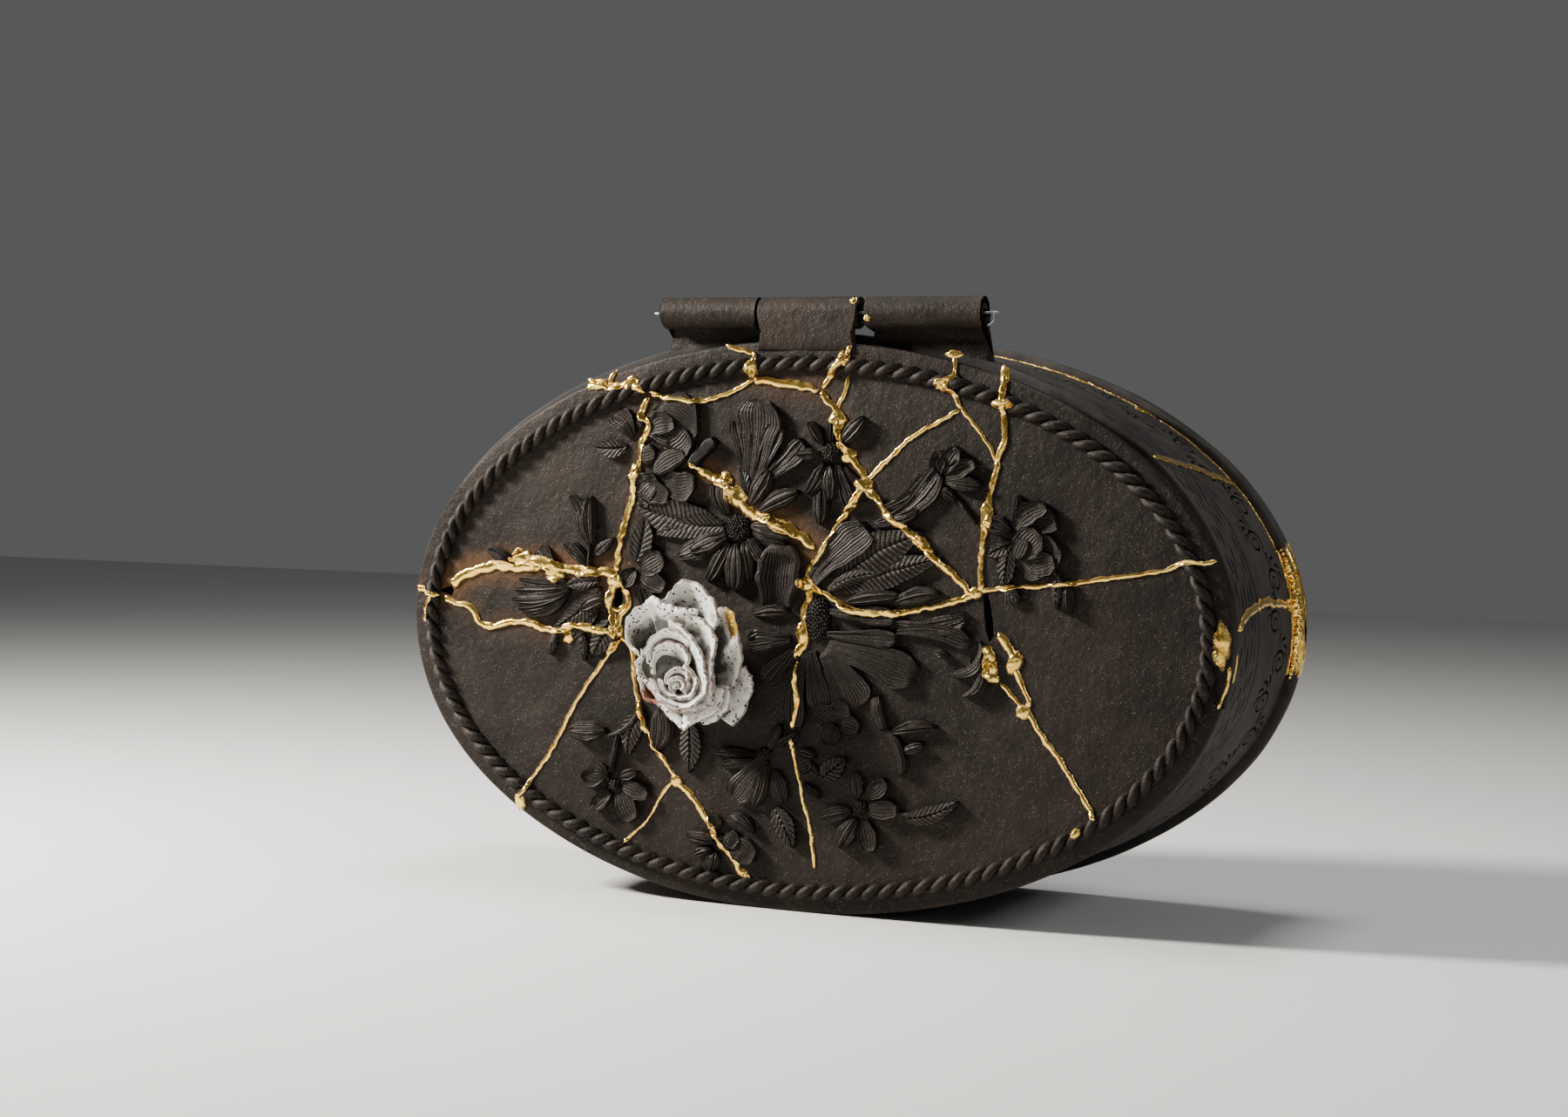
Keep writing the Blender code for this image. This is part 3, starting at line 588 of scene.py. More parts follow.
# each leaf: kind, foot x and z, tip x and z, width, bend, lift, all in millimetres from the lid's middle
flowerLeaves = [
    # the rose at the upper left, from its lowest petals up
    ("leaf", -32, 38, -70, 46, 15, 2, 0.0), ("petal", -60, 56, -70, 49, 15, 0, 0.1),
    ("disc", -68, 52, -54, 48, 9, 0, 0.3), ("disc", -57, 54, -43, 55, 12, -2, 0.5),
    ("disc", -66, 78, -44, 68, 22, 6, 0.1), ("disc", -64, 74, -52, 77, 9, 2, 1.0),
    ("disc", -56, 66, -46, 74, 10, -2, 0.9), ("disc", -60, 62, -51, 66, 8, 0, 1.0),
    ("bud", -67, 64, -60, 65.5, 8, 0, 1.4), ("bud", -61, 57.5, -47, 65.5, 8, 1.2, 2.0),
    ("peg", -46, 60.5, -35, 71.5, 5.0, 0, 1.3), ("leaf", -73, 68, -88.5, 67.5, 7.5, 0.8, 0.2),
    ("petal", -71, 71, -80, 80, 10, -2, 0.1), ("blade", -69, 76, -66, 79, 3, 0, 0.8),
    # tall leaves above the daisy
    ("petal", -21, 52, -17, 87.5, 17, -2, 0.3), ("petal", -22, 58, -27, 80, 9, -1, 0.0),
    ("petal", -19, 54, -9, 78, 9, 0, 0.1), ("petal", -15, 56, 2, 71.5, 8.5, -1.5, 0.5),
    ("blade", -20, 49, -24.5, 61.5, 5, 0, 0.4), ("oval", -20, 46, -11.5, 60.5, 7.5, 0, 0.9),
    ("oval", -16.5, 43.5, 1, 52, 7, 1, 0.7),
    # the big daisy
    ("leaf", -29, 38, -61, 34, 9, -1, 0.2), ("petal", -29, 42, -33, 56, 10, 2, 0.1),
    ("oval", -31, 33.5, -50.5, 25, 9.5, 0, 0.1), ("oval", -28.5, 35, -45, 27.5, 7.6, 0, 1.0),
    ("oval", -28, 32.5, -37, 15.5, 6.5, 0, 0.5), ("oval", -25.5, 32, -25.5, 12.5, 8.5, 0, 0.9),
    ("oval", -22.5, 33, -19, 17, 6, 0, 0.2), ("oval", -21, 34, -13, 24, 6, 0, 0.3),
    ("oval", -19.5, 36, -4, 31.5, 6, 0, 0.2), ("oval", -20, 38.5, -1, 35, 7, 0, 0.9),
    # left of the long seam
    ("oval", -89, 27.5, -98.5, 49, 7, -2.5, 0.5), ("oval", -88, 28, -89.5, 48.5, 9, 2.5, 0.7),
    ("stem", -89.2, 17, -88.7, 30, 2.0, 0, 0.1), ("oval", -90, 20, -100.5, 29.5, 6, -1, 0.2),
    ("blade", -88, 24, -78, 32, 4, 0, 0.0), ("leaf", -68.5, 22, -64.5, 41, 10, -1, 0.5),
    ("disc", -66.5, 19.5, -56, 25.5, 10, 0, 0.3), ("disc", -66.5, 18, -54.5, 13, 8, 0, 0.6),
    ("disc", -69, 20, -74, 13, 7, 0, 0.2), ("petal", -66, 16, -62, 6, 7, 0, 0.1),
    ("oval", -124, 21, -135, 25.5, 5.5, 0, 0.1), ("petal", -103, 17, -113, 26, 9, 0, 0.2),
    # the shaggy bloom between the left seams
    ("oval", -97, 13, -121, 14, 5, 0.5, 0.4), ("oval", -96, 12, -123, 10, 5, 1, 0.7),
    ("oval", -96, 11, -124, 6, 5.4, 1.5, 0.9), ("oval", -97, 10, -121.5, 2.5, 5, 2, 0.6),
    ("oval", -98, 9, -116, 0, 5, 2, 0.3), ("blade", -84, 15, -99, 12.5, 6, 0, 0.4),
    ("leaf", -83, 12, -105, -5, 9.5, 2, 0.4), ("oval", -80, 8, -92, 3, 6, -1, 0.8),
    ("leaf", -85, 5, -96, -9, 7, 0, 0.2), ("blade", -103, -6, -105.5, -16, 3.4, 0, 0.1),
    ("blade", -92, -5, -90, -17.5, 4.6, 0, 0.2), ("leaf", -79, 0, -86.5, -15, 11, 1, 0.6),
    # middle: the arched petal, the broad leaves right of the seam
    ("arch", -8, 7, -6, 32.5, 18, 0, 0.3), ("oval", -18, 4, -2, 6, 5, 1, 0.1),
    ("leaf", 15, 16, 60, 29, 12, 0, 0.0), ("leaf", 16, 19, 52, 37.5, 15, 2, 0.3),
    ("petal", 6, 17, 30, 39.5, 15, 1.5, 1.2), ("blade", 12, 14, 36, 22, 5, 2, 0.7),
    ("oval", 20, 10.5, 43, 14, 6, 1, 0.1), ("oval", 40, 11, 59, 15.5, 6.6, 1, 0.6),
    # the small daisy at the top
    ("oval", 9.5, 66.5, -1.5, 66, 4.6, 0, 0.7), ("oval", 10, 69.5, 3.5, 79, 5, 0, 0.4),
    ("oval", 13, 71, 13.5, 80, 4, 0, 0.5), ("oval", 16.5, 70, 26.5, 81, 6, 0, 0.8),
    ("oval", 10.5, 63.5, 3.5, 50.5, 6, 1, 0.7), ("oval", 12.5, 62.5, 13.5, 48.5, 6.5, 0, 0.9),
    ("petal", 15.5, 63, 21.5, 46, 6.5, 0, 0.5), ("oval", 9.5, 56, 9.5, 39, 7, 0, 0.1),
    ("petal", 18, 62, 28, 49, 6, 0, 0.1),
    # the long bloom that leans right
    ("petal", 30, 40, 57.5, 62, 9, -4.5, 0.6), ("petal", 33, 46, 54, 61, 6, -3, 0.2),
    ("oval", 36, 41, 50, 47, 5, -1, 0.9), ("disc", 56, 59, 57, 69, 6, 0, 0.3),
    ("disc", 58, 60, 64.5, 70, 7, 0, 0.7),
    ("disc", 58.5, 59, 71.5, 64.5, 6.5, 0, 0.4), ("oval", 59, 57, 74, 55.5, 6, 0, 0.8),
    ("oval", 57, 55, 64, 50, 4, 0, 0.2), ("stem", 64, 51, 72, 41.5, 1.6, 0, 0.0),
    # the rosebud at the right
    ("disc", 86, 38, 104, 43, 14, 4, 0.1), ("disc", 89, 24, 104, 36, 16, 0, 0.2),
    ("disc", 87, 40, 100, 49, 8, 2, 1.0),
    ("disc", 88, 30, 97, 40, 12, 0, 1.2), ("disc", 93, 26, 103.5, 29, 9, 0, 0.8),
    ("bud", 88.5, 29, 92, 37, 6, 0, 1.9),
    ("oval", 87.5, 43, 88.5, 53, 4, 0, 0.6), ("oval", 86, 39, 75.5, 43.5, 7, 0, 0.2),
    ("leaf", 86, 35, 76, 30, 6, 0, 0.2), ("leaf", 85.5, 33, 83.5, 18, 7, 0, 0.5),
    ("blade", 84, 18, 89.5, 13, 6, 0, 0.3), ("blade", 104, 26, 104, 11, 4, 0, 0.4),
    ("oval", 108, 21, 108.5, 9.5, 4, 0, 0.5),
    ("stem", 101, 27, 107, 20, 1.8, 0, 0.1),
    # petals of the big open flower, right of and below its seed head
    ("petal", 13, 7, 42, 5.5, 7, 0, 0.7), ("petal", 38, 4, 70, 7, 8, -3, 0.1),
    ("petal", 12, -2, 43, -2.5, 6.5, 0, 0.9), ("petal", 40, 0, 72, -3.5, 7, 3, 0.3),
    ("petal", 12, -6, 51, -16.5, 15, 1, 0.4), ("petal", 12, -8, 26, -31, 19, 1, 0.1),
    ("petal", 7, -8, 12, -31, 10, 0, 0.4), ("petal", 7, -8, 1.5, -39, 9, -3, 0.2),
    ("petal", -1, -4, -20, -7, 9, 0, 0.1), ("petal", 1, -8, -12, -22, 9, 0, 0.1),
    ("ribbon", 76, -2, 62.5, -14, 5, 6, 0.9), ("ribbon", 75, -9, 69, -23, 4.4, 4, 0.6),
    ("oval", 71, -8, 75, -20, 5, 0, 0.0), ("blade", 63, -8, 56, -6, 3, 0, 0.2),
    # below the rose knob
    ("oval", -79, -44, -96.5, -45, 8.5, 0.5, 0.9), ("stem", -80, -46.5, -64, -33, 2.6, -3, 0.4),
    ("stem", -73.8, -42, -77.2, -61, 2.2, 0, 0.2), ("leaf", -63, -35, -69.5, -53.5, 9.5, -2, 0.5),
    ("oval", -56.5, -33, -57.5, -51, 10, 2, 0.8), ("leaf", -43.5, -38, -43, -59, 9.5, 1, 0.6),
    # the blossom low on the left
    ("disc", -77.5, -64.5, -90, -62.5, 8, 0, 0.3), ("ribbon", -79, -63, -90, -62, 2.2, 4, 1.2),
    ("oval", -73, -62.5, -65, -59.5, 5, 0, 0.7), ("disc", -72, -65.5, -59.5, -68.5, 6.5, 0, 0.9),
    ("disc", -73, -68, -66, -79, 9, 0, 0.6), ("disc", -77, -68, -84.5, -75.5, 6, 0, 0.5),
    ("blade", -78, -62, -83, -56.5, 3, 0, 0.4),
    # low middle: the hanging bell and its leaves
    ("oval", -13, -49.5, -35, -49, 3.6, 0, 0.3), ("oval", -13, -52, -30, -54.5, 4.4, 0, 0.1),
    ("petal", -10.5, -50, -24, -67.5, 12, 0, 0.5), ("oval", -10, -52, -15, -70, 7, 0, 0.9),
    ("oval", -9.5, -47.5, -5, -37, 5, 0, 0.3), ("oval", -8, -48, 3, -40, 4.4, 0, 0.4),
    ("oval", -7, -54.5, -2.5, -68, 7.5, 0, 0.7), ("leaf", -7, -69, 2, -84.5, 8.5, 1, 0.5),
    ("oval", 2, -47, 10.5, -49, 4.6, 0, 0.5), ("disc", 3, -54, 9, -51, 6, 0, 0.2),
    ("leaf", 12.5, -57, 23, -48.5, 8.5, 0, 0.6),
    ("oval", 5, -59, 13, -64.5, 3.6, 0, 0.3), ("blade", 4, -50, 12, -56, 4, 0, 0.1),
    # small flower and the winding stalk, lower right
    ("disc", 18, -35, 9.5, -30.5, 8.5, 0, 0.3), ("disc", 19, -34, 21, -26.5, 8.5, 0, 0.5),
    ("disc", 20, -35.5, 28, -37.5, 8.5, 0, 0.4), ("disc", 18, -36, 14.5, -44, 8, 0, 0.6),
    ("stem", 34, -24, 38, -37, 5.4, -1, 0.4), ("stem", 37, -36, 45.5, -54, 4.4, 3, 0.4),
    ("oval", 40, -38, 59, -34.5, 5.4, 1, 0.6), ("oval", 45, -45, 54, -41.5, 4.4, 0, 0.3),
    ("disc", 32, -62.5, 39.5, -55.5, 7.5, 0, 0.6), ("oval", 27.5, -64, 26.5, -53, 6.5, 0, 0.8),
    ("disc", 32, -67, 45, -66.5, 7.5, 0, 0.9), ("oval", 26, -68, 13, -71.5, 7, 0, 0.6),
    ("oval", 27.5, -70.5, 20.5, -83, 8, 0, 0.5), ("disc", 30.5, -71, 34.5, -83.5, 7, 0, 0.7),
    ("leaf", 46, -69.5, 68.5, -61.5, 7, -2, 0.8), ("stem", 42, -68, 52, -68, 2, 0, 0.3),
    # the flower at the foot
    ("oval", -31, -84, -43.5, -82.5, 6, 0, 0.6), ("oval", -32, -87, -40, -90, 4, 0, 0.3),
    ("oval", -26, -73.5, -14.5, -80, 5, 2, 0.5),
    ("disc", -24.5, -84, -13.5, -89.5, 10, 0, 0.5), ("disc", -27, -81, -21, -85, 8, 0, 0.2),
    ("oval", -31, -88, -33, -96, 6, 0, 0.2), ("disc", -29, -79, -33, -75, 6, 0, 0.1),
]
# seed heads: x, z, half width, half height, rise, in millimetres
seedHeads = [
    (-24.5, 37.3, 5.4, 5.2, 2.8), (13, 67, 3.8, 3.6, 2.5), (9.5, 3.5, 5.4, 8.6, 2.5),
    (29, -67, 3.2, 3.2, 2.3), (-11.5, -49, 3.0, 2.6, 2.4), (-75.5, -65.5, 2.4, 2.2, 2.3),
    (-29, -84, 2.4, 2.4, 2.0),
]


def leafWidth(kind, v):
    if kind == "leaf":
        return math.sin(math.pi * v ** 0.85) ** 0.8 * (1 - 0.12 * v)
    if kind == "blade":
        return math.sin(math.pi * v ** 0.95) ** 0.75
    if kind == "oval":
        return math.sin(math.pi * v ** 1.08) ** 0.62
    if kind == "peg":
        return 0.92 + 0.10 * math.sin(v * 9) if v < 0.92 else 0.80
    if kind in ("bud", "disc"):
        return math.sin(math.pi * v) ** 0.5
    if kind in ("stem", "ribbon"):
        return 0.62 + 0.38 * math.sin(math.pi * v)
    if kind == "arch":
        rounded = math.sqrt(max(0.01, 1 - ((v - 0.55) / 0.455) ** 2))
        return 0.70 + 0.30 * ease(v, 0.0, 0.5) if v < 0.55 else rounded
    return min(1.0, 0.30 + 0.95 * v) * (1 - max(0.0, (v - 0.74) / 0.26) ** 2.4) ** 0.6


def leafHeight(kind, side, v):
    # how high a leaf or petal stands at a place across it and along it, as a share of the relief
    flat = abs(side)
    if kind in ("bud", "stem"):
        return 0.14 + 0.66 * math.sqrt(max(0.0, 1 - (0.98 * flat) ** 2))
    if kind == "ribbon":
        return 0.50 + 0.35 * (1 - flat ** 2)
    if kind == "arch":
        return 0.08 + 0.80 * max(ease(flat, 0.50, 0.78), ease(v, 0.70, 0.84)) - 0.15 * ease(flat, 0.9, 1.0)
    if kind == "peg":
        return 0.20 + 0.75 * math.sqrt(max(0.0, 1 - (0.97 * flat) ** 2)) - 0.12 * (v > 0.88) * (1 + side)
    height = 0.44 + 0.16 * (1 - flat ** 2.2)
    if kind == "leaf":
        return height - 0.24 * math.exp(-(side / 0.10) ** 2) + 0.14 * flat ** 5
    if kind == "petal":
        return height + 0.26 * flat ** 4 - 0.20 * (1 - flat) * v + 0.08 * math.cos(side * 10)
    if kind == "disc":
        return height + 0.30 * max(flat ** 4, ease(v, 0.76, 1.0)) - 0.26 * (1 - flat) * (1 - 0.5 * v)
    if kind == "oval":
        return height + 0.10 * (1 - flat ** 2) + 0.09 * math.cos(side * 9)
    return height - 0.12 * math.exp(-(side / 0.16) ** 2)


def addLeaf(bm, marks, spec, seed):
    # one leaf or petal: a domed patch with a skirt that goes into the clay, closed below
    kind, x, z, tipX, tipZ, width, bend, lift = spec
    length, turn = math.hypot(tipX - x, tipZ - z), math.atan2(tipZ - z, tipX - x)
    made = bmesh.ops.create_grid(bm, x_segments=leaves["across"], y_segments=leaves["along"],
                                 size=1.0)["verts"]
    rimAt = 1 - 2 / leaves["across"]
    endAt = 1 / leaves["along"]
    relief = leaves["relief"] / mm
    for vert in made:
        u, v = vert.co.x, (vert.co.y + 1) / 2
        skirt = abs(u) > rimAt + 0.01 or v < endAt / 2 or v > 1 - endAt / 2
        side = max(-1.0, min(1.0, u / rimAt))
        half = width / 2 * leafWidth(kind, min(0.985, max(0.015, v)))
        ripple = noise.noise(Vector((side * 1.3 + seed, v * 3.1, seed * 0.7)))
        half *= 1 + 0.18 * noise.noise(Vector((v * 5.0, seed * 3.1, (1 if side > 0 else -1) * 2.0)))
        ahead = v * length
        across = side * half + bend * 4 * (v - v * v)
        height = relief * leafHeight(kind, side, v) * (0.60 + 0.40 * ease(v, 0.0, 0.35))
        height += lift + relief * 0.10 * ripple + 0.3 * math.sin(v * math.pi) * (kind != "stem")
        if skirt:
            height = -leaves["embed"] / mm
        vert.co = onLid(x + ahead * math.cos(turn) - across * math.sin(turn),
                        z + ahead * math.sin(turn) + across * math.cos(turn), min(height, leaves["highest"]))
        vert[marks["carved"]] = {"bud": 0.25, "stem": 0.35, "disc": 0.6, "peg": 0.0}.get(kind, 1.0)
        vert[marks["pegBlack"]] = float(kind == "peg")
        if kind in ("leaf", "blade"):
            vert[marks["stripe"]] = ahead / 2.1 - abs(side) * 1.7
        else:
            vert[marks["stripe"]] = side * width / 2 / leaves["score"] + seed
    rim = [edge for edge in {edge for vert in made for edge in vert.link_edges} if edge.is_boundary]
    bmesh.ops.holes_fill(bm, edges=rim, sides=0)


def addSeeds(bm, x, z, radiusX, radiusZ, height, rng):
    # a seed head: small grains on a low mound, laid in a sunflower spiral
    mound = bmesh.ops.create_icosphere(bm, subdivisions=2, radius=1.0)["verts"]
    for vert in mound:
        vert.co = onLid(x + vert.co.x * radiusX, z + vert.co.z * radiusZ, -vert.co.y * height)
    count = round(2.0 * radiusX * radiusZ) + 8
    for number in range(count):
        far = 0.97 * math.sqrt((number + 0.5) / count)
        turn = number * 2.39996
        grain = bmesh.ops.create_icosphere(bm, subdivisions=1, radius=leaves["grain"])["verts"]
        rise = height * math.sqrt(max(0.05, 1 - far ** 2)) + rng.uniform(-0.1, 0.3)
        size = rng.uniform(0.8, 1.2)
        for vert in grain:
            vert.co = onLid(x + radiusX * far * math.cos(turn) + vert.co.x * size,
                            z + radiusZ * far * math.sin(turn) + vert.co.z * size,
                            min(leaves["seedHighest"], rise - vert.co.y * 0.9))


def buildFlowers():
    rng = random.Random(leaves["seed"])
    bm = bmesh.new()
    marks = {name: bm.verts.layers.float.new(name) for name in ("carved", "stripe", "pegBlack")}
    for number, spec in enumerate(flowerLeaves):
        addLeaf(bm, marks, spec, number * 1.37)
    bmesh.ops.recalc_face_normals(bm, faces=bm.faces)
    petals = newObject(bm, "lidFlowers", lidClay, 50)
    bm = bmesh.new()
    for x, z, radiusX, radiusZ, height in seedHeads:
        addSeeds(bm, x, z, radiusX, radiusZ, height, rng)
    bmesh.ops.recalc_face_normals(bm, faces=bm.faces)
    seeds = newObject(bm, "lidSeedHeads", lidClay, 60)
    return petals, seeds


flowerPiece, seedPiece = buildFlowers()
print("flowers made")

knuckle = {
    "radius": 0.0064, "slab": 0.0027, "turns": 28, "steps": 22, "streak": 0.0003, "pinch": 0.0016,
    "warmthAndSheen": 0.42,
    "left": (-0.0595, -0.0190), "centre": (-0.0180, 0.0230), "right": (0.0260, 0.0725),
    "foot": 0.0050, "flare": 0.0062, "neck": 0.0018, "neckSoft": 0.003, "sway": 0.0007, "soft": 0.0005,
}


def spiralProfile(forLid):
    # the rolled slab's section: Y and Z from the axis, outer skin then inner skin
    outer, inner = [], []
    radius, slabWide = knuckle["radius"], knuckle["slab"]
    start, end = (-90, 262) if forLid else (-270, 86)
    for step in range(knuckle["turns"] + 1):
        share = step / knuckle["turns"]
        turn = math.radians(start + (end - start) * share)
        sink = slabWide * 0.42 * max(0.0, (share - 0.72) / 0.28)
        outer.append(((radius - sink) * math.sin(turn), (radius - sink) * math.cos(turn)))
        inner.append(((radius - sink - slabWide) * math.sin(turn),
                      (radius - sink - slabWide) * math.cos(turn)))
    return outer, inner


def buildKnuckle(name, span, forLid, surface):
    start, end = span
    outer, inner = spiralProfile(forLid)
    axisY, axisZ = hingeAxis.y, hingeAxis.z
    if forLid:
        top = lidZ + lid["halfHeight"]
        front = -knuckle["radius"]
        drop = [(front, -0.006), (front + 0.0001, top - axisZ - 0.0005),
                (lidFront - axisY - 0.0007, top - axisZ - 0.0040),
                (lidFront - axisY + 0.0003, top - axisZ - 0.0048)]
        back = [(lidFront - axisY + 0.003, top - axisZ - 0.0048),
                (lidFront - axisY + 0.003, top - axisZ + 0.001),
                (front + knuckle["slab"], top - axisZ + 0.003), (front + knuckle["slab"], -0.006)]
    else:
        crest = bodyCrest((start + end) / 2)
        low = min(bodyCrest(start), bodyCrest(end))
        back0 = knuckle["radius"]
        drop = [(back0, -0.006), (back0, crest + knuckle["foot"] - axisZ),
                (back0 + knuckle["flare"] * 0.35, crest + 0.0016 - axisZ),
                (back0 + knuckle["flare"], low - 0.001 - axisZ)]
        back = [(back0 - knuckle["slab"], low - 0.003 - axisZ), (back0 - knuckle["slab"], -0.006)]
    drop, back = ([tuple(place) for place in smoothPath(line, 0.0012)] for line in (drop, back))
    loop = list(reversed(drop)) + outer + list(reversed(inner)) + list(reversed(back))
    bm = bmesh.new()
    verts = [bm.verts.new((start, axisY + y, axisZ + z)) for y, z in loop]
    edges = [bm.edges.new((verts[n], verts[(n + 1) % len(verts)])) for n in range(len(verts))]
    for step in range(knuckle["steps"]):
        grown = bmesh.ops.extrude_edge_only(bm, edges=edges)["geom"]
        moved = [part for part in grown if isinstance(part, bmesh.types.BMVert)]
        edges = [part for part in grown if isinstance(part, bmesh.types.BMEdge)
                 and part.verts[0] in moved and part.verts[1] in moved]
        bmesh.ops.translate(bm, verts=moved, vec=((end - start) / knuckle["steps"], 0, 0))
    rims = [edge for edge in bm.edges if edge.is_boundary]
    bmesh.ops.holes_fill(bm, edges=rims, sides=0)
    bmesh.ops.recalc_face_normals(bm, faces=bm.faces)
    bm.normal_update()
    middle, half = (start + end) / 2, (end - start) / 2
    neck = axisZ - knuckle["radius"] - knuckle["neck"]
    for vert in bm.verts:
        x, y, z = vert.co
        vert.co += vert.normal * knuckle["streak"] * (rough(x * 0.15, y, z, 0.0022, 5) - 0.6)
        away = (x - middle) / half
        vert.co.x -= knuckle["pinch"] * away ** 5 * math.exp(-((z - neck) / knuckle["neckSoft"]) ** 2)
        vert.co.x += knuckle["sway"] * rough(0, y, z, 0.006, 1 + start * 90) * (1 if away > 0 else -1)
        vert.co.x = min(end, max(start, vert.co.x))
    bmesh.ops.recalc_face_normals(bm, faces=bm.faces)
    item = newObject(bm, name, surface, 40)
    soft = item.modifiers.new("soft", "BEVEL")
    soft.width = knuckle["soft"]
    soft.segments = 2
    soft.limit_method = "ANGLE"
    soft.angle_limit = math.radians(45)
    applied(item)
    # painted warm sheen: a warm tint over the whole knuckle stands in for its sheen
    marks = item.data.attributes.new("warmthAndSheen", "FLOAT", "POINT")
    for vert, mark in zip(item.data.vertices, marks.data):
        mark.value = knuckle["warmthAndSheen"] * (0.7 + 0.5 * rough(*vert.co, 0.02, 6))
    return item


body = {
    "halfLength": 0.171, "halfHeight": 0.1115, "wall": 0.007, "drop": 0.0020, "cavityDepth": 0.0917,
    "baseOverhang": 0.0035, "baseThickness": 0.008, "round": 0.002, "groove": 0.0025, "grooveDepth": 0.0013,
    "segments": 256, "lineY": -0.012, "lineDepth": 0.0007, "lip": 0.0012,
}
bodyZ = lidZ + body["drop"]
backY = bodyHigh.y
baseY = backY - body["baseThickness"]
rimY = lidBack + 0.0003


def bodyCrest(x):
    return bodyZ + body["halfHeight"] * math.sqrt(max(0.0, 1 - (x / body["halfLength"]) ** 2))


def buildShell():
    halfX, halfZ = body["halfLength"] - 0.0003, body["halfHeight"] - 0.0003
    wall, over, edge = body["wall"], body["baseOverhang"], body["round"]
    floorY = rimY + body["cavityDepth"]
    line, deep, lip = body["lineY"], body["lineDepth"], body["lip"]
    stations = [(0.0, 0, floorY), (0.6, -wall, floorY), (0.93, -wall, floorY), (1.0, -wall - 0.002, floorY),
                (1.0, -wall, floorY - 0.002)]
    stations += [(1.0, -wall, floorY - (floorY - rimY) * step / 6) for step in range(1, 6)]
    stations += [(1.0, -wall, rimY + 0.001), (1.0, -wall + 0.001, rimY), (1.0, -lip, rimY),
                 (1.0, -lip / 4, rimY + lip / 4), (1.0, 0, rimY + lip)]
    levels = 7
    stations += [(1.0, 0, rimY + lip + (line - 0.0006 - rimY - lip) * step / levels)
                 for step in range(1, levels + 1)]
    stations += [(1.0, -deep, line - 0.0002), (1.0, -deep, line + 0.0003), (1.0, 0, line + 0.0007)]
    last = baseY - body["groove"]
    stations += [(1.0, 0, line + 0.0007 + (last - line - 0.0007) * step / 12) for step in range(1, 13)]
    deepGroove = body["grooveDepth"]
    stations += [(1.0, -deepGroove, last + deepGroove / 2), (1.0, -deepGroove, baseY)]
    for step in range(0, 4):
        turn = math.pi / 2 * step / 3
        stations.append((1.0, over - edge * (1 - math.sin(turn)), baseY + edge * (1 - math.cos(turn))))
    stations.append((1.0, over, backY - edge))
    for step in range(1, 4):
        turn = math.pi / 2 * step / 3
        stations.append((1.0, over - edge * (1 - math.cos(turn)), backY - edge * (1 - math.sin(turn))))
    stations += [(0.93, 0, backY), (0.6, 0, backY), (0.0, 0, backY)]

    def shape(station, angle):
        share, offset, y = station
        bend = 0.0
        if y > rimY + 0.002 and share == 1.0 and offset > -wall / 2:
            bend = 0.00025 * (rough(math.cos(angle), y * 12, math.sin(angle), 0.14, 4) - 0.6)
        x = (halfX * share + offset * bool(share) + bend) * math.cos(angle)
        z = (halfZ * share + offset * bool(share) + bend) * math.sin(angle)
        return Vector((x, y, max(0.0, bodyZ + z)))

    bm = bmesh.new()
    ovalLoft(bm, stations, body["segments"], shape)
    return newObject(bm, "bodyShell", wallClay, 35)


shell = buildShell()
wallTree = castOver([shell])
wallLengths = ovalTable(body["halfLength"], body["halfHeight"])
print("body shell made")


def wallSurface(arc, y):
    # a place on the wall from millimetres round it and along Y, and the way out of it
    angle = angleOn(wallLengths, arc * mm)
    halfX, halfZ = body["halfLength"], body["halfHeight"]
    out = Vector((halfZ * math.cos(angle), 0, halfX * math.sin(angle))).normalized()
    place = Vector((halfX * math.cos(angle), y * mm, bodyZ + halfZ * math.sin(angle)))
    hit, *_ = wallTree.ray_cast(place + out * 0.012, -out, 0.02)
    return (hit if hit else place - out * 0.001), out


# the drawing cut into the wall: dashes by the rim, curling scrolls by the base, plainer on the far side
engraving = {
    "radius": 0.00092, "proud": 0.00016, "from": -165, "to": 615, "plainFrom": 330, "seed": 4,
    "rows": (-39, -34, -29, -23, -18), "dashPitch": 7, "scrollPitch": 16, "scrollY": 20, "scrollRise": 5,
    "curl": 5.6, "tall": 1.7, "curlTurns": 1.5, "leaflets": 4,
}


